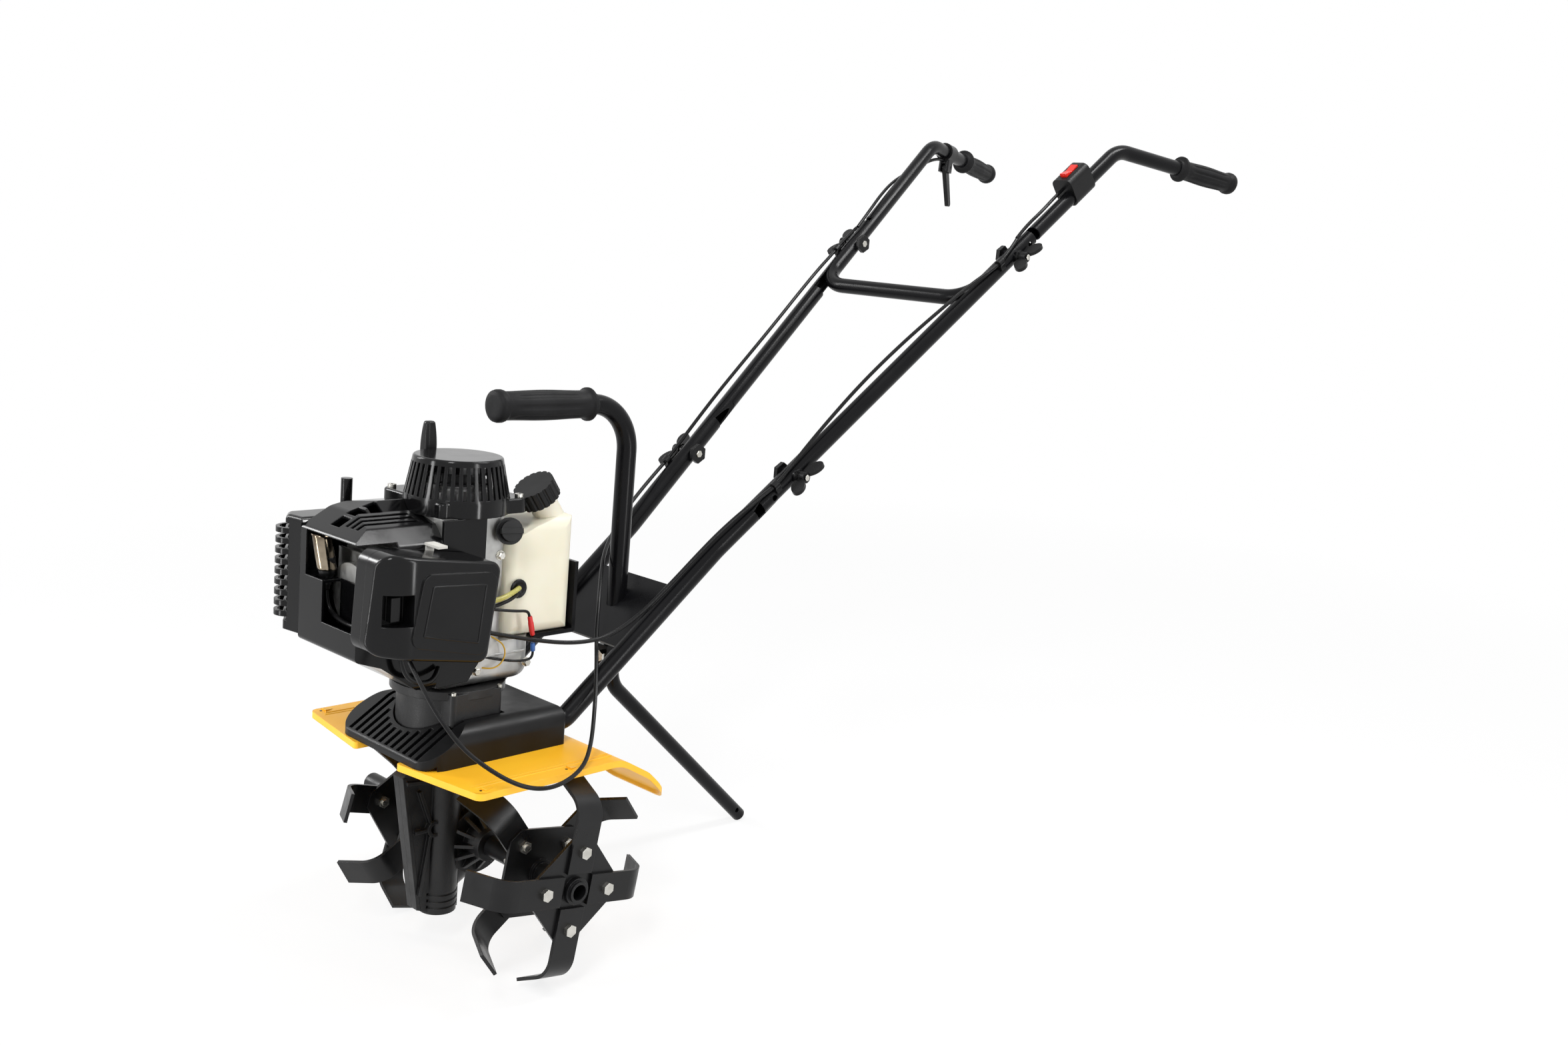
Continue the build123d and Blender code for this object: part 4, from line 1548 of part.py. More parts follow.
print("fuel", [round(r) for r in bend_radii(FUEL_RUN)])
print("breather", [round(r) for r in bend_radii(BREATHER_RUN)])
print("spark", [round(r) for r in bend_radii(SPARK_RUN)])
fuel_solid = cable(FUEL_RUN, HOSE_R)
breather_solid = cable(BREATHER_RUN, HOSE_R)
spark_solid = cable(SPARK_RUN, SPARK_R)
with BuildPart() as engine_hoses:
    add(fuel_solid)
    add(breather_solid)
finish(engine_hoses, "engine_hoses")
with BuildPart() as ignition_lead:
    add(spark_solid)
finish(ignition_lead, "ignition_lead")

# Screws: the drag bar's clamp and the starter's corner screws
with BuildPart() as machine_screws:
    rod((LIFT_X + LIFT_BORE_R + RUN_FIT, 0, clamp_z), (1, 0, 0), JOINT_BOLT_R, TUBE_R + 6 - LIFT_BORE_R)
    with BuildSketch(Plane((LIFT_X + TUBE_R + 6, 0, clamp_z), z_dir=(1, 0, 0))):
        RegularPolygon(TINE_BOLT_HEAD / 2, 6, major_radius=False)
    extrude(amount=TINE_BOLT_HEAD_T)
    for corner in ((-19, 35), (-19, -68), (83, -68)):
        with BuildSketch(Plane((corner[0], corner[1], COVER_FLANGE_TOP_Z))):
            Circle(5)
            RegularPolygon(2.6, 6, mode=Mode.SUBTRACT)
        extrude(amount=3.5)
finish(machine_screws, "machine_screws")


# Stand the machine on the ground: lean it back, bring the lowest tine point to the ground and
# centre its length over the origin
boxes = [leaned.from_local_coords(piece).bounding_box() for piece in pieces]
AXLE_X = -(min(box.min.X for box in boxes) + max(box.max.X for box in boxes)) / 2
AXLE_Z = -min(box.min.Z for box in boxes)
stand = Plane((AXLE_X, 0, AXLE_Z), x_dir=(cos(lean), 0, sin(lean)), z_dir=(-sin(lean), 0, cos(lean)))
for piece in pieces:
    standing = stand.from_local_coords(piece)
    standing.label = piece.label
    export_step(standing, f"parts/{piece.label}.step")
print("axle", round(AXLE_X, 4), round(AXLE_Z, 4), "pieces", len(pieces))
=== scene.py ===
import json
from math import cos, sin, pi, radians

import bmesh
import bpy
from mathutils import Matrix, Vector


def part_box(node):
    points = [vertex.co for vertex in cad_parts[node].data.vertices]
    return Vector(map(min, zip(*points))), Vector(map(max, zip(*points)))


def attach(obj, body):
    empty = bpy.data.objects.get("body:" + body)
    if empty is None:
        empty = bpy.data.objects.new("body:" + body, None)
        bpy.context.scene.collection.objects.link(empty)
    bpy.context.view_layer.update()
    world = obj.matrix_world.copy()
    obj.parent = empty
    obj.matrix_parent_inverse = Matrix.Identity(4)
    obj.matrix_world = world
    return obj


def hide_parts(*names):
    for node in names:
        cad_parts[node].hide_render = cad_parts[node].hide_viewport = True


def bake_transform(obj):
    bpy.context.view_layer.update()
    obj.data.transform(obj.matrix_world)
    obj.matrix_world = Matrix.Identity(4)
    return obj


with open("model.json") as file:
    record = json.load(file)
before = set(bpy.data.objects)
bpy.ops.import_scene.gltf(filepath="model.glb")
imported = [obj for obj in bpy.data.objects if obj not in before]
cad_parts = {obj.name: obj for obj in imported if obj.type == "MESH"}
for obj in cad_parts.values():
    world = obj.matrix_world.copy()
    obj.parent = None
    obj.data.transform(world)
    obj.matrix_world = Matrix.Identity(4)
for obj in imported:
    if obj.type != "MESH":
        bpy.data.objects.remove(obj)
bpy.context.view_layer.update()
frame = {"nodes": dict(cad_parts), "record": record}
nodes = frame["nodes"]
shaft_low, shaft_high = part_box("tine_shaft")

# The machine's own frame, as in the part's source: millimetres from the tine axle, leaned nose-up to stand
MM_PER_M = 1000
LEAN = radians(4.0)
AXLE = (Vector(shaft_low) + Vector(shaft_high)) / 2
UP = Vector((0, 0, 1))
TURN = Matrix.Rotation(-LEAN, 4, "Y")
STAND = Matrix.Translation(AXLE) @ TURN @ Matrix.Scale(1 / MM_PER_M, 4)


def way(x, y, z):
    """A direction of the machine's frame, turned into the shared frame."""
    return TURN @ Vector((x, y, z))


def at(x, y, z):
    """A spot of the machine's frame, as metres of the shared frame."""
    return STAND @ Vector((x, y, z))


# Materials

def linear(red, green, blue):
    """The opaque linear colour of a screen colour whose levels run from 0 to 255."""
    levels = []
    for level in (red, green, blue):
        share = level / 255
        levels.append(share / 12.92 if level <= 10 else ((share + 0.055) / 1.055) ** 2.4)
    return levels + [1]


# Places of the colour sockets on a mix node
COLOUR_A = 6
COLOUR_B = 7
COLOUR_OUT = 2
BEVEL_SAMPLES = 4


class Finish:
    """One procedural material: colour patches, grain, roughness changes and softened edges."""

    def __init__(self, name, colour, rough, metal=0.0):
        self.material = bpy.data.materials.new(name)
        self.material.use_nodes = True
        self.tree = self.material.node_tree
        self.shader = self.tree.nodes["Principled BSDF"]
        self.shader.inputs["Metallic"].default_value = metal
        self.shader.inputs["Roughness"].default_value = rough
        self.shader.inputs["Base Color"].default_value = colour
        self.material.diffuse_color = colour
        self.place = self.add("ShaderNodeTexCoord").outputs["Object"]
        self.colour = None
        self.normal = None

    def add(self, kind, **values):
        made = self.tree.nodes.new(kind)
        for key, value in values.items():
            setattr(made, key, value)
        return made

    def link(self, source, target):
        self.tree.links.new(source, target)

    def noise(self, scale, detail=3.0, rough=0.55):
        made = self.add("ShaderNodeTexNoise")
        made.inputs["Scale"].default_value = scale
        made.inputs["Detail"].default_value = detail
        made.inputs["Roughness"].default_value = rough
        self.link(self.place, made.inputs["Vector"])
        return made.outputs["Fac"]

    def cells(self, scale):
        made = self.add("ShaderNodeTexVoronoi", feature="F1")
        made.inputs["Scale"].default_value = scale
        self.link(self.place, made.inputs["Vector"])
        return made.outputs["Distance"]

    def ramp(self, value, low, high, first=(0, 0, 0, 1), last=(1, 1, 1, 1)):
        made = self.add("ShaderNodeValToRGB")
        made.color_ramp.elements[0].position = low
        made.color_ramp.elements[0].color = first
        made.color_ramp.elements[1].position = high
        made.color_ramp.elements[1].color = last
        self.link(value, made.inputs["Fac"])
        return made.outputs["Color"]

    def over(self, share, first, second):
        """Two colours mixed by a share; a colour is a list or another node's output."""
        made = self.add("ShaderNodeMix", data_type="RGBA")
        self.link(share, made.inputs["Factor"])
        for socket, value in ((made.inputs[COLOUR_A], first), (made.inputs[COLOUR_B], second)):
            if isinstance(value, list):
                socket.default_value = value
            else:
                self.link(value, socket)
        return made.outputs[COLOUR_OUT]

    def paint(self, first, second, scale, low=0.35, high=0.7):
        self.colour = self.over(self.ramp(self.noise(scale), low, high), first, second)
        self.link(self.colour, self.shader.inputs["Base Color"])
        return self

    def gloss(self, low, high, scale):
        made = self.add("ShaderNodeMapRange")
        made.inputs["From Min"].default_value = 0.3
        made.inputs["From Max"].default_value = 0.7
        made.inputs["To Min"].default_value = low
        made.inputs["To Max"].default_value = high
        self.link(self.noise(scale), made.inputs["Value"])
        self.link(made.outputs["Result"], self.shader.inputs["Roughness"])
        return self

    def soften(self, radius):
        made = self.add("ShaderNodeBevel", samples=BEVEL_SAMPLES)
        made.inputs["Radius"].default_value = radius
        self.normal = made.outputs["Normal"]
        self.link(self.normal, self.shader.inputs["Normal"])
        return self

    def bump(self, height, strength, depth):
        made = self.add("ShaderNodeBump")
        made.inputs["Strength"].default_value = strength
        made.inputs["Distance"].default_value = depth
        self.link(height, made.inputs["Height"])
        if self.normal is not None:
            self.link(self.normal, made.inputs["Normal"])
        self.normal = made.outputs["Normal"]
        self.link(self.normal, self.shader.inputs["Normal"])
        return self

    def worn(self, colour, radius, amount, scale):
        """Bare metal where a sharp edge meets the noise's patches."""
        bevel = self.add("ShaderNodeBevel", samples=BEVEL_SAMPLES)
        bevel.inputs["Radius"].default_value = radius
        geometry = self.add("ShaderNodeNewGeometry")
        dot = self.add("ShaderNodeVectorMath", operation="DOT_PRODUCT")
        self.link(bevel.outputs["Normal"], dot.inputs[0])
        self.link(geometry.outputs["Normal"], dot.inputs[1])
        edge = self.ramp(dot.outputs["Value"], 0.80, 0.97, (1, 1, 1, 1), (0, 0, 0, 1))
        chips = self.ramp(self.noise(scale, 5), 1 - amount, min(1.0, 1.12 - amount))
        mask = self.add("ShaderNodeMath", operation="MULTIPLY")
        self.link(edge, mask.inputs[0])
        self.link(chips, mask.inputs[1])
        self.colour = self.over(mask.outputs[0], self.colour, colour)
        self.link(self.colour, self.shader.inputs["Base Color"])
        self.link(mask.outputs[0], self.shader.inputs["Metallic"])
        return self

    def set(self, **values):
        """Shader inputs by their names in lower case."""
        sockets = {socket.name.lower().replace(" ", "_"): socket for socket in self.shader.inputs}
        for key, value in values.items():
            sockets[key].default_value = value
        return self


def black_plastic():
    look = Finish("black_plastic", linear(13, 13, 14), 0.36)
    look.paint(linear(10, 10, 11), linear(17, 17, 18), 9).gloss(0.3, 0.44, 30)
    look.soften(0.0009).bump(look.noise(1500, 2), 0.18, 0.0002)
    look.set(specular_ior_level=0.22)
    return look.material


def glossy_plastic():
    look = Finish("glossy_plastic", linear(10, 10, 11), 0.2)
    look.paint(linear(7, 7, 8), linear(13, 13, 14), 11).gloss(0.1, 0.2, 24)
    look.soften(0.0014).bump(look.noise(420, 2), 0.05, 0.0003)
    look.set(specular_ior_level=0.24)
    return look.material


def tube_paint():
    look = Finish("tube_paint", linear(11, 11, 13), 0.28)
    look.paint(linear(8, 8, 10), linear(15, 15, 17), 7).gloss(0.2, 0.3, 18)
    look.soften(0.0006).bump(look.noise(240, 2), 0.03, 0.0003)
    look.set(specular_ior_level=0.14)
    return look.material


def foam_rubber():
    look = Finish("foam_rubber", linear(20, 20, 21), 0.55)
    look.paint(linear(16, 16, 17), linear(25, 25, 26), 25).gloss(0.46, 0.62, 40)
    look.soften(0.0008).bump(look.cells(1100), 0.2, 0.0004)
    look.set(specular_ior_level=0.15)
    return look.material


def tine_paint():
    look = Finish("tine_paint", linear(14, 14, 15), 0.32)
    look.paint(linear(10, 10, 11), linear(19, 19, 20), 12).gloss(0.26, 0.42, 35)
    look.set(specular_ior_level=0.3)
    look.worn(linear(120, 118, 112), 0.0010, 0.38, 300)
    look.soften(0.0008).bump(look.noise(330, 4), 0.12, 0.0004)
    return look.material


def case_casting():
    look = Finish("case_casting", linear(14, 14, 15), 0.42)
    look.paint(linear(10, 10, 11), linear(20, 20, 21), 20).gloss(0.33, 0.5, 60)
    look.set(specular_ior_level=0.4)
    look.soften(0.0014).bump(look.noise(620, 5, 0.6), 0.3, 0.0005)
    return look.material


def engine_casting():
    look = Finish("engine_casting", linear(176, 176, 174), 0.42, 1.0)
    look.paint(linear(150, 150, 148), linear(192, 192, 190), 28).gloss(0.34, 0.55, 70)
    look.soften(0.0012).bump(look.noise(900, 4, 0.6), 0.32, 0.0004)
    return look.material


def fender_plastic():
    look = Finish("fender_plastic", linear(254, 188, 34), 0.4)
    look.paint(linear(253, 183, 28), linear(255, 194, 42), 6).gloss(0.34, 0.46, 22)
    look.soften(0.0012).bump(look.noise(1300, 2), 0.12, 0.0002)
    look.set(subsurface_weight=0.06, subsurface_scale=0.004)
    return look.material


def tank_plastic():
    look = Finish("tank_plastic", linear(228, 222, 203), 0.4)
    look.paint(linear(222, 215, 193), linear(233, 228, 212), 9).gloss(0.34, 0.46, 30)
    look.soften(0.002).bump(look.noise(300, 2), 0.04, 0.0003)
    look.set(subsurface_weight=0.12, subsurface_scale=0.01)
    return look.material


def plain(name, first, second, rough, metal=0.0, grain=700, depth=0.0002, strength=0.15, shine=0.5):
    """A simple finish for small or hidden pieces."""
    look = Finish(name, first, rough, metal)
    look.set(specular_ior_level=shine)
    look.paint(first, second, 20).gloss(rough - 0.06, rough + 0.08, 45)
    look.soften(0.0006).bump(look.noise(grain, 3), strength, depth)
    return look.material


def bright_steel():
    look = Finish("bright_steel", linear(205, 203, 196), 0.28, 1.0)
    look.paint(linear(188, 186, 178), linear(216, 214, 208), 60).gloss(0.2, 0.38, 120)
    look.soften(0.0004).bump(look.noise(900, 3), 0.12, 0.0002)
    return look.material


def heat_steel():
    look = Finish("heat_steel", linear(112, 98, 82), 0.18, 1.0)
    look.paint(linear(74, 62, 50), linear(160, 148, 130), 30, 0.3).gloss(0.1, 0.22, 70)
    look.bump(look.noise(500, 2), 0.06, 0.0002)
    return look.material


def hose_yellow():
    look = Finish("hose_yellow", linear(196, 190, 98), 0.28)
    look.paint(linear(188, 178, 84), linear(206, 202, 120), 30).gloss(0.2, 0.34, 60)
    look.set(transmission_weight=0.25)
    return look.material


FINISH = {
    "black_plastic": black_plastic(),
    "glossy_plastic": glossy_plastic(),
    "black_tube": tube_paint(),
    "black_foam": foam_rubber(),
    "tine_steel": tine_paint(),
    "case_casting": case_casting(),
    "engine_casting": engine_casting(),
    "fender_orange": fender_plastic(),
    "tank_white": tank_plastic(),
    "bright_steel": bright_steel(),
    "heat_steel": heat_steel(),
    "hose_yellow": hose_yellow(),
}
PLAIN_FINISHES = [
    # name, first colour, second colour, roughness, other values
    ("rocker_red", (226, 40, 24), (206, 30, 18), 0.3, {"grain": 900, "strength": 0.08}),
    ("choke_white", (232, 230, 224), (220, 218, 210), 0.4, {}),
    ("shaft_steel", (150, 150, 152), (172, 172, 172), 0.3, {"metal": 1.0, "grain": 1200}),
    ("gear_bronze", (184, 140, 78), (202, 160, 96), 0.3, {"metal": 1.0, "grain": 800}),
    ("flywheel_cast", (170, 170, 170), (188, 188, 188), 0.4,
     {"metal": 1.0, "depth": 0.0004, "strength": 0.3}),
    ("muffler_steel", (58, 57, 55), (78, 75, 70), 0.5,
     {"metal": 0.6, "grain": 600, "depth": 0.0003, "strength": 0.25}),
    ("cable_rubber", (11, 11, 12), (16, 16, 17), 0.3, {"grain": 900, "strength": 0.1, "shine": 0.22}),
    ("rope", (28, 28, 28), (46, 46, 46), 0.7, {"grain": 600, "depth": 0.0004, "strength": 0.5}),
    ("sleeve_red", (206, 28, 26), (184, 22, 22), 0.35, {}),
    ("lead_yellow", (214, 170, 40), (196, 150, 30), 0.4, {}),
    ("sleeve_blue", (44, 96, 168), (36, 82, 150), 0.35, {}),
]
for name, first, second, rough, others in PLAIN_FINISHES:
    FINISH[name] = plain(name, linear(*first), linear(*second), rough, **others)

# Nodes that look unlike the rest of their material slot
finish_of = {part["node"]: part["material_slot"] for part in frame["record"]["subparts"]}
for name in ("engine_shroud", "recoil_cover", "filter_case", "filter_cover", "muffler_guard"):
    finish_of[name] = "glossy_plastic"
finish_of["joint_bolts"] = "black_plastic"
for name, thing in nodes.items():
    thing.data.materials.clear()
    thing.data.materials.append(FINISH[finish_of[name]])


# Cords


def curve_piece(name, points, radius, material, body, stands_for=()):
    """A round cord through points of the machine's frame."""
    data = bpy.data.curves.new(name, "CURVE")
    data.dimensions = "3D"
    spline = data.splines.new("NURBS")
    spline.points.add(len(points) - 1)
    for point, spot in zip(spline.points, points):
        point.co = (*at(*spot), 1)
    spline.order_u = 3
    spline.use_endpoint_u = True
    data.resolution_u = 16
    data.bevel_depth = radius / MM_PER_M
    data.bevel_resolution = 5
    data.use_fill_caps = True
    made = bpy.data.objects.new(name, data)
    bpy.context.scene.collection.objects.link(made)
    data.materials.append(FINISH[material])
    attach(made, body)
    if stands_for:
        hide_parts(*stands_for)
    return made


def spline_length(cord):
    """The length of a cord's middle line in metres."""
    data = cord.data.copy()
    data.bevel_depth = 0
    probe = bpy.data.objects.new("probe", data)
    mesh = bpy.data.meshes.new_from_object(probe)
    spots = [v.co.copy() for v in mesh.vertices]
    bpy.data.objects.remove(probe)
    bpy.data.meshes.remove(mesh)
    return sum((b - a).length for a, b in zip(spots, spots[1:]))


def unit(v):
    return Vector(v).normalized()


def other_side(v):
    """The same spot or direction on the operator's right."""
    return Vector((v[0], -v[1], v[2]))


# Routes repeat those of the part's source, from the same joints, clips and entries
JOINT_LOW = Vector((-415, 97.2, 434.9))
JOINT_HIGH = Vector((-791.6, 147.3, 742.8))
BAR_KNEE = Vector((-1000, 174.8, 913.2))
BAR_END = Vector((-1247.9, 236.6, 887.9))
CLIP_RISE = 14.2
CLIP_OUT = 10
CLIP_BACK = 35
LEG_FOOT = 104
slope = unit(JOINT_HIGH - JOINT_LOW)
level = unit((slope.x, 0, slope.z))
plate_up = Vector((level.z, 0, -level.x))
joint_gap = (JOINT_HIGH - JOINT_LOW).length
clip_lift = plate_up * CLIP_RISE + Vector((0, CLIP_OUT, 0))
low_clip = JOINT_LOW - slope * CLIP_BACK + clip_lift
high_clip = JOINT_LOW + slope * (joint_gap - CLIP_BACK) + clip_lift
leg = unit(BAR_KNEE - (JOINT_HIGH - slope * LEG_FOOT))
leg_up = unit(UP - leg * leg.z)
leg_in = leg_up.cross(leg)


def beside_tube(s, rise, aside):
    """A spot along the left mid tube, from the lower joint."""
    return JOINT_LOW + slope * s + plate_up * rise + Vector((0, aside, 0))


def beside_leg(s, rise, aside):
    """A spot along the left leg of the handlebar, from the upper joint."""
    return JOINT_HIGH + leg * s + leg_up * rise + Vector((0, aside, 0))


# Where the cables enter the switch on the left and the lever's clamp on the right
SWITCH_ALONG = 168
SWITCH_ENTRY = (-23, 15, 7)
CLAMP_ALONG = 64
MOUNT_BACK = 13.02
MOUNT_DROP = 14.3
switch_at = JOINT_HIGH + leg * SWITCH_ALONG
switch_entry = switch_at + leg * SWITCH_ENTRY[0] + leg_up * SWITCH_ENTRY[1] + leg_in * SWITCH_ENTRY[2]
right_run = unit(other_side(BAR_END) - other_side(BAR_KNEE))
clamp_at = other_side(BAR_KNEE) + right_run * CLAMP_ALONG
run_up = unit(UP - right_run * right_run.z)
mount_entry = clamp_at - right_run * MOUNT_BACK - run_up * MOUNT_DROP

CABLE_R = 2.5
HOSE_R = 3.0
SPARK_R = 2.6
CHASSIS_CABLE_END = 5.3
CLIP_START = 4.5
CLIP_HALF = 13.5
CROSS_OUT = 1.6
MID_END = (18, 16.2)
SWITCH_LEAD_IN = 25
MOUNT_LEAD_IN = 30
low_in = low_clip - slope * CHASSIS_CABLE_END
THROTTLE_LOOP = [
    (158, 92, 262), (154.6, 110, 240), (143.9, 130, 207.5), (128.5, 150, 178), (110.8, 167, 158.9),
    (84, 184, 139), (54, 192, 128), (20, 189, 126), (-20.6, 175, 132), (-50.7, 152, 145), (-84.6, 116, 172),
    (-114.8, 80, 213), (-132, 56, 245), (-150, 36, 274), (-176.6, 6, 303), (-206, -24, 326), (-252, -55, 352),
    (-306, -80, 384), tuple(other_side(low_in)),
]
STOP_RUN = [
    (31, 58, 269), (-23, 66, 255), (-85, 74, 244), (-135, 78, 247), (-185, 80, 273), (-228, 82, 306),
    (-267, 84, 338), (-300, 88, 366), (-338, 96, 396), tuple(low_in),
]
MID_SLACK = [(35, 20, 6), (95, 24, 3), (155, 26, 0), (215, 26, -1), (275, 25, 0), (335, 23, 3), (395, 20, 6)]
SWITCH_RUN = [(20, 16.5, CROSS_OUT), (45, 19, 0), (85, 19, 1)]
LEVER_RUN = [(20, 16.5, CROSS_OUT), (60, 18, 2), (110, 14, 10), (160, 5, 17), (210, -9, 15)]
FUEL_RUN = [(-16, 48.7, 314), (4, 60, 311), (30, 62, 306), (60, 53.6, 302), (88, 53.5, 300)]
BREATHER_RUN = [
    (152, 66, 261), (149, 68, 243), (137, 70.5, 230), (119, 70, 226), (104, 63.5, 230), (97, 57.6, 238),
]
SPARK_RUN = [
    (186, -30, 317.8), (185.5, -29, 303), (184.5, -20, 293), (183.5, 0, 287.5), (182, 23, 286),
    (180.5, 46, 287),
]
mid_run = [low_clip - slope * CLIP_START, low_clip + slope * CLIP_HALF]
mid_run += [beside_tube(*p) for p in MID_SLACK]
mid_run += [high_clip - slope * CLIP_HALF, high_clip + slope * CLIP_HALF]
mid_run += [beside_tube(joint_gap + MID_END[0], MID_END[1], CROSS_OUT)]
top_run = [beside_leg(*p) for p in SWITCH_RUN] + [switch_entry - leg * SWITCH_LEAD_IN, switch_entry]
grip_run = [other_side(beside_leg(*p)) for p in LEVER_RUN]
grip_run += [mount_entry - right_run * MOUNT_LEAD_IN, mount_entry]

CORDS = [
    # piece, route, radius, body, node, stiffness
    ("throttle_outer", THROTTLE_LOOP, CABLE_R, "chassis", "throttle_cable", "stiff"),
    ("stop_outer", STOP_RUN, CABLE_R, "chassis", "stop_lead", "medium"),
    ("mid_outer_left", mid_run, CABLE_R, "mid_handle", "mid_cables", "medium"),
    ("mid_outer_right", [other_side(p) for p in mid_run], CABLE_R, "mid_handle", "mid_cables", "stiff"),
    ("switch_outer", top_run, CABLE_R, "handlebar", "handlebar_cables", "medium"),
    ("lever_outer", grip_run, CABLE_R, "handlebar", "handlebar_cables", "stiff"),
    ("fuel_hose", FUEL_RUN, HOSE_R, "chassis", "engine_hoses", "medium"),
    ("breather_hose", BREATHER_RUN, HOSE_R, "chassis", "engine_hoses", "medium"),
    ("spark_lead", SPARK_RUN, SPARK_R, "chassis", "ignition_lead", "medium"),
]


def declare(cord):
    """Measures a cord's middle line to four places; the length is not kept."""
    round(spline_length(cord), 4)


for name, run, radius, body, node, stiffness in CORDS:
    finish = "hose_yellow" if name == "fuel_hose" else "cable_rubber"
    declare(curve_piece(name, run, radius, finish, body, (node,)))


# Pieces

def piece(name, bm, material, body, stands_for=(), smooth=True):
    """A mesh drawn in the machine-level frame, stood up and fixed to a body."""
    bmesh.ops.recalc_face_normals(bm, faces=bm.faces)
    mesh = bpy.data.meshes.new(name)
    bm.to_mesh(mesh)
    bm.free()
    mesh.transform(STAND)
    for face in mesh.polygons:
        face.use_smooth = smooth
    mesh.materials.append(FINISH[material])
    made = bpy.data.objects.new(name, mesh)
    bpy.context.scene.collection.objects.link(made)
    if body:
        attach(made, body)
    if stands_for:
        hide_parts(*stands_for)
    return made


def basis(direction):
    """A unit axis and two unit directions square to it."""
    axis = unit(direction)
    side = axis.cross(UP if abs(axis.z) < 0.9 else Vector((0, 1, 0))).normalized()
    return axis, side, axis.cross(side)


def spin(bm, profile, start, direction, around, flute=None):
    """A turned form of (radius, height) pairs. A flute may change the radius by angle and height."""
    axis, side, top = basis(direction)
    rings = []
    for radius, height in profile:
        ring = []
        for i in range(around):
            angle = 2 * pi * i / around
            r = radius + (flute(angle, height) if flute else 0)
            out = side * cos(angle) + top * sin(angle)
            ring.append(bm.verts.new(Vector(start) + axis * height + out * r))
        rings.append(ring)
    for a, b in zip(rings, rings[1:]):
        for i in range(around):
            j = (i + 1) % around
            bm.faces.new((a[i], a[j], b[j], b[i]))
    for ring in (rings[0], rings[-1]):
        bm.faces.new(ring)
    return bm


def wedge(bm, corners, height):
    """A low wedge: a triangle whose first side is raised."""
    base = [bm.verts.new(Vector(c)) for c in corners]
    top = [bm.verts.new(Vector(c) + Vector((0, 0, height))) for c in corners[:2]]
    bm.faces.new((base[0], base[2], base[1]))
    bm.faces.new((top[0], top[1], base[2]))
    bm.faces.new((base[0], base[1], top[1], top[0]))
    bm.faces.new((base[1], base[2], top[1]))
    bm.faces.new((base[2], base[0], top[0]))


# A grip's waist between its plain ends, and the long hollows in it
KNOB_END = 16.0
FLANGE_END = 18
WAIST_IN = 1.5
WAIST_SWELL = 1.2
GRIP_STEPS = 40
GRIP_AROUND = 120
FLUTE_DEPTH = 1.5
FLUTE_START = 20
FLUTE_STOP = 22
FLUTE_FADE = 2.6
FLUTE_CURVE = 0.6


def hand_grip(name, start, direction, length, radius, flange, body, node, flutes):
    """A soft moulded grip: an end knob, a waist with long hollows, and a flange."""
    knob = radius + 0.9
    profile = [(3.0, 0.6), (radius - 7, 0.0), (radius - 3.2, 0.5), (knob - 0.9, 2.4), (knob, 5.6),
               (knob, 10.0), (knob - 0.8, 12.6), (radius - 1.4, 14.4), (radius - WAIST_IN, KNOB_END)]
    waist = length - KNOB_END - FLANGE_END
    for i in range(1, GRIP_STEPS):
        share = i / GRIP_STEPS
        swell = WAIST_SWELL * sin(pi * share) ** 2
        profile.append((radius - WAIST_IN + swell, KNOB_END + waist * share))
    profile += [(radius - WAIST_IN, length - FLANGE_END), (radius - 1.0, length - 14),
                (radius - 0.4, length - 11.5), (flange - 1.4, length - 10.6), (flange, length - 9.4),
                (flange, length - 6.8), (flange - 1.2, length - 5.6), (radius - 2.0, length - 5.0),
                (radius - 2.6, length - 1.0), (radius - 3.4, length)]

    def hollow(angle, height):
        share = (height - FLUTE_START) / (length - FLUTE_START - FLUTE_STOP)
        if not 0 < share < 1:
            return 0.0
        window = min(1.0, sin(pi * share) * FLUTE_FADE)
        wave = cos(flutes * angle)
        return -FLUTE_DEPTH * window * max(0.0, wave) ** FLUTE_CURVE

    bm = spin(bmesh.new(), profile, start, direction, GRIP_AROUND, hollow)
    made = piece(name, bm, "black_foam", body, (node,))


# Start, direction, length, radius, flange radius, body, node, flutes
LIFT_GRIP = ((-2, 0, 519.5), (-1, 0, 0), 148, 18.5, 20.5, "chassis", "lift_grip", 8)
BAR_GRIP = (129, 16.0, 19.5, "handlebar", "handlebar_grips", 10)
BAR_GRIP_OVER = 4
hand_grip("lift_grip_moulded", *LIFT_GRIP)
hand = unit(BAR_KNEE - BAR_END)
grip_foot = BAR_END - hand * BAR_GRIP_OVER
hand_grip("handle_grip_left", grip_foot, hand, *BAR_GRIP)
hand_grip("handle_grip_right", other_side(grip_foot), other_side(hand), *BAR_GRIP)

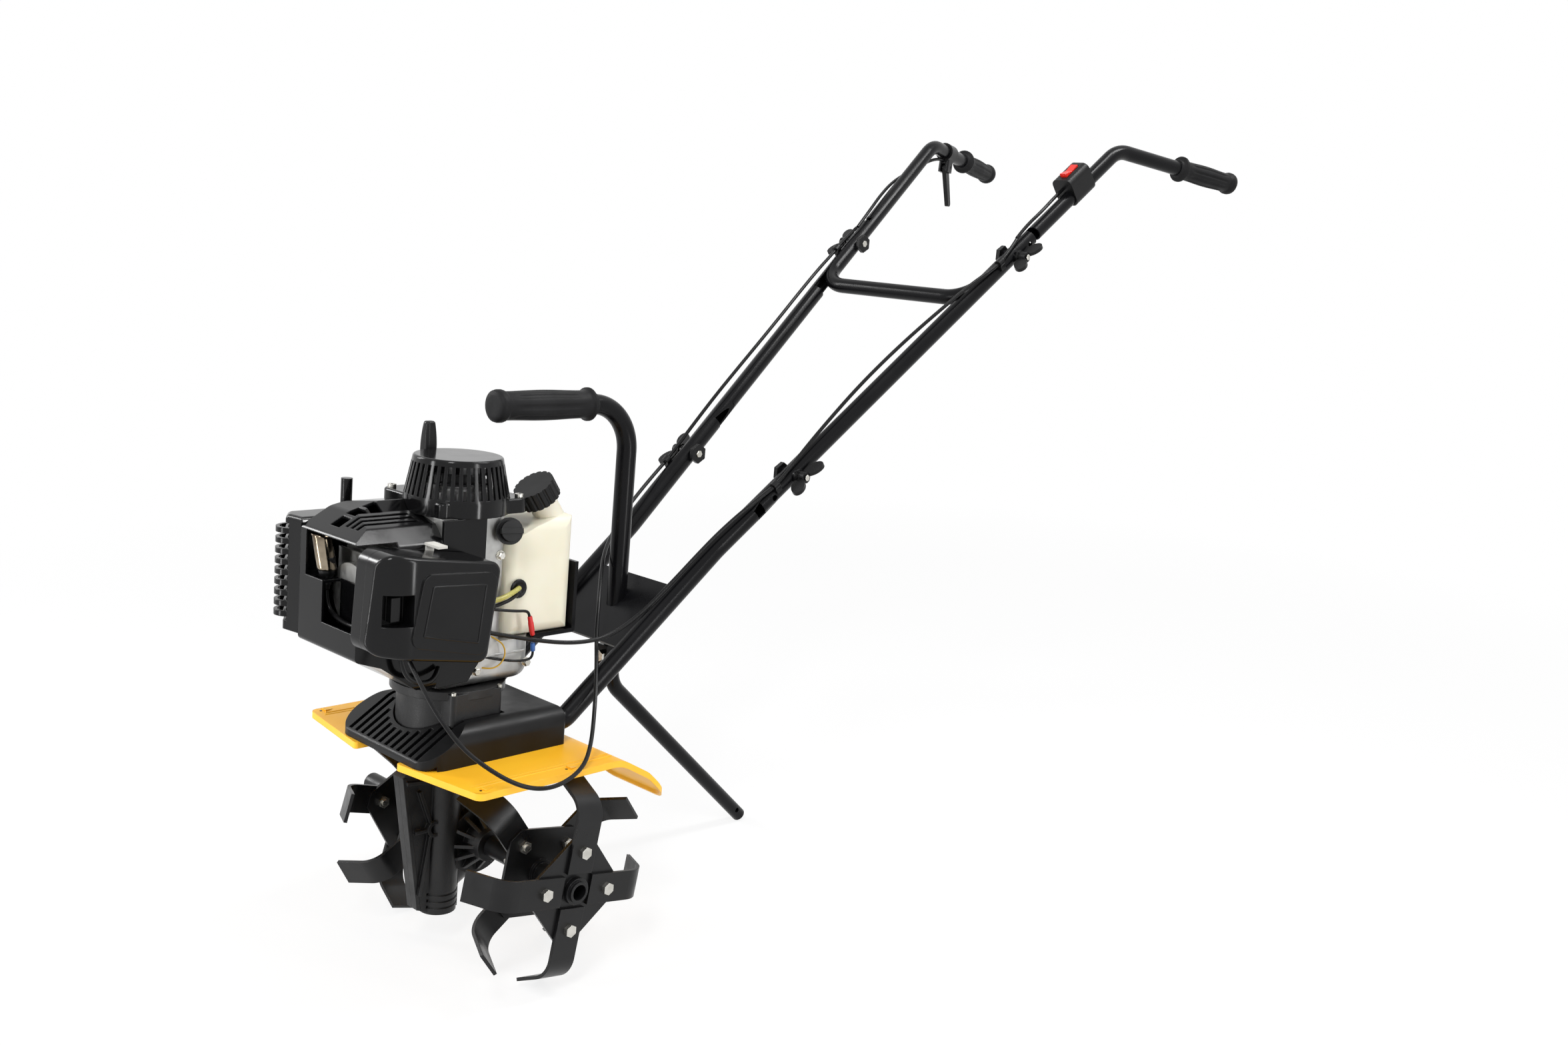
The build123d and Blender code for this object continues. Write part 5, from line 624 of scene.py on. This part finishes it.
# Spark plug: a heat-stained shield with a slanted top, and a rubber boot
PLUG = Vector((186, -30, 0))
SHIELD_LEAN = Vector((4.5, -6.0, 0))
SHIELD_FOOT = 340
SHIELD_TALL = 39
SHIELD_SLANT = 5.0
SHIELD_TURN = 0.6
SHIELD_R = 10.5
SHIELD_BULGE = 0.25
SHIELD_WALL_M = 0.0012
SHIELD_ROWS = 13
SHIELD_AROUND = 36
BOOT = [
    (2.4, 318), (3.6, 317.6), (4.2, 319), (4.2, 322), (5.4, 323), (5.4, 326), (4.8, 327), (4.8, 329),
    (6.0, 330), (7.6, 333), (8.6, 336), (9.2, 338), (9.2, 354), (8.0, 354.5), (2.0, 354.6),
]
bm = bmesh.new()
rows = []
for height in range(SHIELD_ROWS + 1):
    row = []
    for i in range(SHIELD_AROUND + 1):
        angle = 2 * pi * i / SHIELD_AROUND
        slant = SHIELD_SLANT * cos(angle - SHIELD_TURN) if height == SHIELD_ROWS else 0
        lift = SHIELD_FOOT + SHIELD_TALL * height / SHIELD_ROWS + slant
        bulge = SHIELD_R + SHIELD_BULGE * sin(pi * height / SHIELD_ROWS)
        lean = SHIELD_LEAN * (lift - SHIELD_FOOT) / SHIELD_TALL
        top = min(SHIELD_FOOT + SHIELD_TALL, lift)
        row.append(bm.verts.new(PLUG + lean + Vector((bulge * cos(angle), bulge * sin(angle), top))))
    rows.append(row)
for a, b in zip(rows, rows[1:]):
    for i in range(SHIELD_AROUND):
        bm.faces.new((a[i], a[i + 1], b[i + 1], b[i]))
bmesh.ops.remove_doubles(bm, verts=bm.verts, dist=0.01)
shield = piece("plug_shield", bm, "heat_steel", "chassis", ("plug_cap",))
thick = shield.modifiers.new("wall", "SOLIDIFY")
thick.thickness = SHIELD_WALL_M
thick.offset = -1
bm = spin(bmesh.new(), BOOT, PLUG, UP, 40)
piece("plug_boot", bm, "cable_rubber", "chassis", ("plug_cap",))

# Starter rope: a braided cord from its foot in the cover up to its top at the grip
ROPE_AT = (36, -68)
ROPE_FOOT = 426
ROPE_TOP = 447
ROPE_PITCH = 0.75
ROPE_TURNS = 28
ROPE_R = 1.5
ROPE_TIP_R = 0.4
ROPE_BRAID = 0.12
rope = [(ROPE_TIP_R, ROPE_FOOT)]
rope += [(ROPE_R + ROPE_BRAID * (i % 2), ROPE_FOOT + i * ROPE_PITCH) for i in range(ROPE_TURNS)]
rope += [(ROPE_TIP_R, ROPE_TOP)]
bm = spin(bmesh.new(), rope, (*ROPE_AT, 0), UP, 16)
starter_rope = piece("starter_rope", bm, "rope", None)
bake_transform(starter_rope)

# Fuel grommet and the small wiring behind the air filter
GROMMET = [(1.0, 0.3), (10.2, 0.3), (11.4, 1.2), (11.2, 2.6), (9.6, 3.3), (7.6, 2.9), (6.6, 1.5), (1.0, 1.3)]
bm = spin(bmesh.new(), GROMMET, (-16, 46, 313), (0, 1, 0), 40)
piece("fuel_grommet", bm, "cable_rubber", "chassis")
RETURN_RUN = [(-15, 48.4, 308), (-4, 55, 305), (14, 60, 302), (38, 58, 297), (62, 54, 294), (84, 53.4, 293)]
COIL_RUN = [
    (46, 52.6, 297), (34, 56, 296.5), (16, 60, 294), (-4, 62, 291), (-17, 63, 290), (-21.5, 63, 286),
    (-22.6, 63, 280),
]
EARTH_RUN = [(-30, 62.5, 240), (-31, 62, 233), (-24, 60, 229), (-6, 57, 230), (14, 53, 234), (30, 48.5, 238)]
YELLOW_RUN = [
    (22, 48.5, 262), (14, 56, 257), (8, 59, 249), (7, 59, 238), (13, 58, 228), (24, 55, 224), (34, 48, 226),
]
WIRES = [
    # piece, route, radius, finish
    ("return_hose", RETURN_RUN, 2.2, "cable_rubber"),
    ("coil_lead", COIL_RUN, 1.7, "cable_rubber"),
    ("earth_lead", EARTH_RUN, 1.5, "cable_rubber"),
    ("yellow_lead", YELLOW_RUN, 0.9, "lead_yellow"),
]
for name, run, radius, finish in WIRES:
    declare(curve_piece(name, run, radius, finish, "chassis"))
RED_SLEEVE = [
    (1.5, 0), (2.4, 0.2), (2.9, 1.4), (2.9, 7), (3.3, 8), (3.3, 18), (2.9, 19), (2.9, 22.5), (2.4, 23.6),
    (1.5, 23.8),
]
BLUE_SLEEVE = [(1.4, 0), (2.3, 0.2), (2.8, 1.2), (2.8, 9.8), (2.3, 10.8), (1.4, 11)]
bm = spin(bmesh.new(), RED_SLEEVE, (-22.4, 63, 283), (-0.2, 0.05, -0.98), 24)
piece("red_sleeve", bm, "sleeve_red", "chassis")
bm = spin(bmesh.new(), BLUE_SLEEVE, (-28.5, 63.5, 251), (-0.12, -0.05, -0.98), 24)
piece("blue_sleeve", bm, "sleeve_blue", "chassis")

# How far trim starts inside the face that carries it
SINK = 0.4


def bead(bm, points, width, height):
    """A low moulded line along points on a flat top."""
    section = [(-1, -SINK), (-1, height * 0.4), (-0.6, height), (0.6, height), (1, height * 0.4), (1, -SINK)]
    rows = []
    for i, point in enumerate(points):
        near = Vector(points[min(i + 1, len(points) - 1)]) - Vector(points[max(i - 1, 0)])
        across = Vector((-near.y, near.x, 0)).normalized() * width / 2
        spot = Vector(point)
        rows.append([bm.verts.new(spot + across * k + Vector((0, 0, h))) for k, h in section])
    for a, b in zip(rows, rows[1:]):
        for i in range(len(section) - 1):
            bm.faces.new((a[i], a[i + 1], b[i + 1], b[i]))
    bm.faces.new(rows[0])
    bm.faces.new(rows[-1])


# Fender: two moulded lines along each side, small triangular pockets at the corners, and black rings of
# painted shade for the holes ahead of the pockets
FENDER_TOP = 129.0
FENDER_LINES = [
    # X and Y of the points, width, height
    ([(108, 152), (48, 151), (-82, 153)], 2.2, 0.8),
    ([(112, 146), (60, 144), (-82, 146)], 1.2, 0.5),
]
FENDER_POCKETS = [(100, 161), (-18, 160)]
POCKET_CORNERS = [(5, -5), (5, 5), (-8, 0)]
POCKET_TALL = 2.0
# Black rings ahead of the pockets are painted shade: they stand for the dark inside of the holes
POCKET_HOLE = [(0.3, 0.0), (1.6, 0.0), (1.6, 0.35), (0.3, 0.35)]
POCKET_HOLE_AHEAD = 8.5
bm = bmesh.new()
for side in (1, -1):
    for spots, width, height in FENDER_LINES:
        bead(bm, [(x, side * y, FENDER_TOP) for x, y in spots], width, height)
piece("fender_lines", bm, "fender_orange", "chassis", smooth=False)
bm = bmesh.new()
hole_shade = bmesh.new()
for side in (1, -1):
    for x, y in FENDER_POCKETS:
        wedge(bm, [(x + dx, side * (y + dy), FENDER_TOP) for dx, dy in POCKET_CORNERS], POCKET_TALL)
        spin(hole_shade, POCKET_HOLE, (x + POCKET_HOLE_AHEAD, side * y, FENDER_TOP), UP, 16)
piece("fender_pockets", bm, "fender_orange", "chassis", smooth=False)
# The pocket holes are black rings of painted shade
piece("fender_pocket_holes", hole_shade, "cable_rubber", "chassis", smooth=False)


# Air filter: a stepped rim round the flat panel of the cover
FILTER_PANEL = [(75, 262), (172, 284), (158, 361), (64, 355)]
PANEL_FACE_Y = 114.0
RIM_INSET = 5.5
RIM_ROUND = 9.0
RIM_WIDTH = 2.4
RIM_TALL = 0.9


def rounded_loop(corners, inset, radius, steps=8):
    """Points round an inset polygon with arcs at its corners, in the X and Z of a side view."""
    spots = [Vector((x, 0, z)) for x, z in corners]
    middle = sum(spots, Vector()) / len(spots)
    moved = []
    for i, spot in enumerate(spots):
        before = (spot - spots[i - 1]).normalized()
        after = (spots[(i + 1) % len(spots)] - spot).normalized()
        inward = [Vector((-w.z, 0, w.x)) for w in (before, after)]
        inward = [w if w.dot(middle - spot) > 0 else -w for w in inward]
        half = (inward[0] + inward[1]).normalized()
        moved.append(spot + half * inset / half.dot(inward[0]))
    loop = []
    for i, spot in enumerate(moved):
        to_last = (moved[i - 1] - spot).normalized()
        to_next = (moved[(i + 1) % len(moved)] - spot).normalized()
        half = (to_last + to_next).normalized()
        turn = to_last.angle(to_next) / 2
        centre = spot + half * radius / sin(turn)
        first = spot + to_last * radius * cos(turn) / sin(turn) - centre
        last = spot + to_next * radius * cos(turn) / sin(turn) - centre
        for k in range(steps + 1):
            loop.append(centre + first.slerp(last, k / steps))
    return loop


def rim(bm, loop, face_y, width, height):
    """A low half-round line on a face that looks along Y."""
    section = [(-1, -SINK), (-0.8, height * 0.6), (0, height), (0.8, height * 0.6), (1, -SINK)]
    rows = []
    for i, spot in enumerate(loop):
        run = (loop[(i + 1) % len(loop)] - loop[i - 1]).normalized()
        across = Vector((-run.z, 0, run.x)) * width / 2
        rows.append([bm.verts.new(spot + across * k + Vector((0, face_y + h, 0))) for k, h in section])
    for a, b in zip(rows, rows[1:] + rows[:1]):
        for i in range(len(section)):
            j = (i + 1) % len(section)
            bm.faces.new((a[i], a[j], b[j], b[i]))


bm = bmesh.new()
rim(bm, rounded_loop(FILTER_PANEL, RIM_INSET, RIM_ROUND), PANEL_FACE_Y, RIM_WIDTH, RIM_TALL)
piece("filter_rim", bm, "glossy_plastic", "chassis")


# Engine: hex bolts with washers on the crankcase, socket screws on the clutch box, and the crankcase seam

def hex_bolt(bm, spot, direction, across):
    """A washer under a hexagon head, whose size is measured across its flats."""
    washer = across * 0.72
    core = across * 0.2
    corner = across * 0.577
    ring = [(washer * 0.3, -SINK), (washer, -SINK), (washer, 1.0), (washer * 0.3, 1.0)]
    spin(bm, ring, spot, direction, 28)
    head = [(core, 0.9), (corner, 0.9), (corner, 4.6), (across * 0.48, 5.4), (core, 5.4)]
    spin(bm, head, spot, direction, 6)


def socket_screw(bm, spot, direction, radius):
    """A round head with a hollow for the key."""
    head = [(radius * 0.3, -SINK), (radius, -SINK), (radius, 2.4), (radius * 0.86, 3.0), (radius * 0.55, 3.0),
            (radius * 0.5, 1.4), (radius * 0.2, 1.3)]
    spin(bm, head, spot, direction, 24)


CRANKCASE_FACE_Y = 50
CRANKCASE_BOLTS = [(41, 223), (-30, 224), (15, 356)]
BOLT_ACROSS = 8.0
CLUTCH_BOX_TOP = 203
CLUTCH_BOX_SCREWS = [(13.5, 60.5), (76.5, 60.5)]
SCREW_R = 3.0
SEAM_Z = 238.0
SEAM_FRONT = 46
SEAM_STEP = 2.5
SEAM_STEPS = 30
SEAM_GAP = 1.2
SEAM_WIDTH = 1.6
SEAM_TALL = 0.7
bm = bmesh.new()
for x, z in CRANKCASE_BOLTS:
    hex_bolt(bm, (x, CRANKCASE_FACE_Y, z), (0, 1, 0), BOLT_ACROSS)
for x, y in CLUTCH_BOX_SCREWS:
    socket_screw(bm, (x, y, CLUTCH_BOX_TOP), UP, SCREW_R)
piece("engine_bolts", bm, "bright_steel", "chassis", smooth=False)
along = [SEAM_FRONT - SEAM_STEP * i for i in range(SEAM_STEPS + 1)]
seam = [Vector((x, 0, SEAM_Z)) for x in along] + [Vector((x, 0, SEAM_Z + SEAM_GAP)) for x in reversed(along)]
bm = bmesh.new()
rim(bm, seam, CRANKCASE_FACE_Y, SEAM_WIDTH, SEAM_TALL)
piece("crankcase_seam", bm, "engine_casting", "chassis")

# Folding joints: the bright bolt shows at both ends of the black capped heads
BOLT_HEAD = [(1.0, -SINK), (5.2, -SINK), (5.2, 1.2), (4.6, 1.8), (1.0, 1.8)]
BOLT_TAIL = [(0.8, -SINK), (4.0, -SINK), (4.0, 0.2), (3.4, 0.7), (0.8, 0.7)]
HEAD_IN = 7.6
TAIL_OUT = 29.1
LOW_TUBE_R = 12.5
HIGH_TUBE_R = 11.0
bm = bmesh.new()
for joint, tube_r in ((JOINT_LOW, LOW_TUBE_R), (JOINT_HIGH, HIGH_TUBE_R)):
    for side in (1, -1):
        spin(bm, BOLT_HEAD, (joint.x, side * (joint.y - tube_r - HEAD_IN), joint.z), (0, -side, 0), 6)
        spin(bm, BOLT_TAIL, (joint.x, side * (joint.y + TAIL_OUT), joint.z), (0, side, 0), 24)
piece("joint_bolt_ends", bm, "bright_steel", "mid_handle", smooth=False)


# Stage and camera

def shown(tree):
    """One where a camera, mirror or glass ray sees the backdrop, and nought where it lights the object."""
    path = tree.nodes.new("ShaderNodeLightPath")
    total = path.outputs["Is Camera Ray"]
    for kind in ("Is Glossy Ray", "Is Transmission Ray"):
        either = tree.nodes.new("ShaderNodeMath")
        either.operation = "MAXIMUM"
        tree.links.new(total, either.inputs[0])
        tree.links.new(path.outputs[kind], either.inputs[1])
        total = either.outputs[0]
    return total


# The floor's own shading shows within the near distance and is gone at the far one, in metres
FLOOR_COLOUR = (0.94, 0.94, 0.94, 1)
FADE_NEAR = 0.5
FADE_FAR = 2.2
NEAR_WHITE = 0.8


def white_floor():
    """A pale floor that keeps the shadow near the object and turns plain white farther off."""
    made = bpy.data.materials.new("floor_white")
    made.use_nodes = True
    tree = made.node_tree
    shader = tree.nodes["Principled BSDF"]
    shader.inputs["Base Color"].default_value = FLOOR_COLOUR
    shader.inputs["Roughness"].default_value = 0.85
    shader.inputs["Specular IOR Level"].default_value = 0.1
    grain = tree.nodes.new("ShaderNodeTexNoise")
    grain.inputs["Scale"].default_value = 40
    bump = tree.nodes.new("ShaderNodeBump")
    bump.inputs["Strength"].default_value = 0.02
    tree.links.new(grain.outputs["Fac"], bump.inputs["Height"])
    tree.links.new(bump.outputs["Normal"], shader.inputs["Normal"])
    place = tree.nodes.new("ShaderNodeTexCoord")
    reach = tree.nodes.new("ShaderNodeVectorMath")
    reach.operation = "LENGTH"
    tree.links.new(place.outputs["Object"], reach.inputs[0])
    fade = tree.nodes.new("ShaderNodeMapRange")
    fade.inputs["From Min"].default_value = FADE_NEAR
    fade.inputs["From Max"].default_value = FADE_FAR
    fade.inputs["To Min"].default_value = NEAR_WHITE
    fade.inputs["To Max"].default_value = 1.0
    tree.links.new(reach.outputs["Value"], fade.inputs["Value"])
    share = tree.nodes.new("ShaderNodeMath")
    share.operation = "MULTIPLY"
    tree.links.new(shown(tree), share.inputs[0])
    tree.links.new(fade.outputs["Result"], share.inputs[1])
    glow = tree.nodes.new("ShaderNodeEmission")
    mixed = tree.nodes.new("ShaderNodeMixShader")
    tree.links.new(share.outputs[0], mixed.inputs[0])
    tree.links.new(shader.outputs[0], mixed.inputs[1])
    tree.links.new(glow.outputs[0], mixed.inputs[2])
    tree.links.new(mixed.outputs[0], tree.nodes["Material Output"].inputs["Surface"])
    return made


FLOOR_REACH = 90
FLOOR_Z = -0.0004
WORLD_LIGHT = 0.36
floor_corners = [(x * FLOOR_REACH, y * FLOOR_REACH, FLOOR_Z) for x, y in ((-1, -1), (1, -1), (1, 1), (-1, 1))]
floor_mesh = bpy.data.meshes.new("floor")
floor_mesh.from_pydata(floor_corners, [], [(0, 1, 2, 3)])
floor = bpy.data.objects.new("floor", floor_mesh)
bpy.context.scene.collection.objects.link(floor)
floor_mesh.materials.append(white_floor())

world = bpy.data.worlds.new("studio")
bpy.context.scene.world = world
world.use_nodes = True
tree = world.node_tree
back = tree.nodes["Background"]
reach = tree.nodes.new("ShaderNodeMapRange")
reach.inputs["To Min"].default_value = WORLD_LIGHT
reach.inputs["To Max"].default_value = 1.0
tree.links.new(shown(tree), reach.inputs["Value"])
tree.links.new(reach.outputs["Result"], back.inputs["Strength"])
back.inputs["Color"].default_value = (1, 1, 1, 1)


def lamp(name, spot, target, size, power):
    """An area lamp in metres and watts that the camera doesn't see."""
    data = bpy.data.lights.new(name, "AREA")
    data.shape = "RECTANGLE"
    data.size, data.size_y = size
    data.energy = power
    made = bpy.data.objects.new(name, data)
    bpy.context.scene.collection.objects.link(made)
    made.visible_camera = False
    made.location = spot
    made.rotation_mode = "QUATERNION"
    made.rotation_quaternion = (Vector(target) - Vector(spot)).to_track_quat("-Z", "Y")


LAMPS = [
    # name, place, target, size, power
    ("key", (2.2, 1.2, 2.6), (0.2, 0, 0.4), (0.5, 1.3), 41),
    ("left_edge", (-0.9, 0.85, 2.65), (0.5, 0, 0.4), (0.3, 1.4), 37),
    ("right_edge", (1.75, -2.2, 1.7), (0.5, 0, 0.4), (0.3, 1.4), 34),
    ("front_low", (1.93, -0.25, 0.62), (0.65, 0, 0.5), (0.14, 1.2), 8.2),
    ("side_low", (0.2, 1.64, 0.62), (0.65, 0, 0.5), (0.14, 1.2), 8.2),
]
for values in LAMPS:
    lamp(*values)

# The camera was fitted to points of the photograph, in the machine's frame
CAMERA_SPOT = (1054.95, 1408.07, 727.36)
CAMERA_YAW = radians(48.164)
CAMERA_PITCH = radians(10.282)
CAMERA_ROLL = radians(5.031)
CAMERA_LENS = 34.757
SENSOR_WIDTH = 36
flat = cos(CAMERA_PITCH)
back_way = Vector((sin(CAMERA_YAW) * flat, cos(CAMERA_YAW) * flat, sin(CAMERA_PITCH)))
right_way = (-back_way).cross(UP).normalized()
up_way = right_way.cross(-back_way)
right_way, up_way = (right_way * cos(CAMERA_ROLL) + up_way * sin(CAMERA_ROLL),
                     up_way * cos(CAMERA_ROLL) - right_way * sin(CAMERA_ROLL))
columns = [way(*v) for v in (right_way, up_way, back_way)] + [at(*CAMERA_SPOT)]
camera_data = bpy.data.cameras.new("camera")
camera_data.sensor_width = SENSOR_WIDTH
camera_data.lens = CAMERA_LENS
camera_data.clip_start = 0.02
camera_data.clip_end = 300
camera = bpy.data.objects.new("camera", camera_data)
bpy.context.scene.collection.objects.link(camera)
camera.matrix_world = Matrix([[*(c[row] for c in columns)] for row in range(3)] + [[0, 0, 0, 1]])
bpy.context.scene.camera = camera
bpy.context.scene.view_settings.view_transform = "Standard"
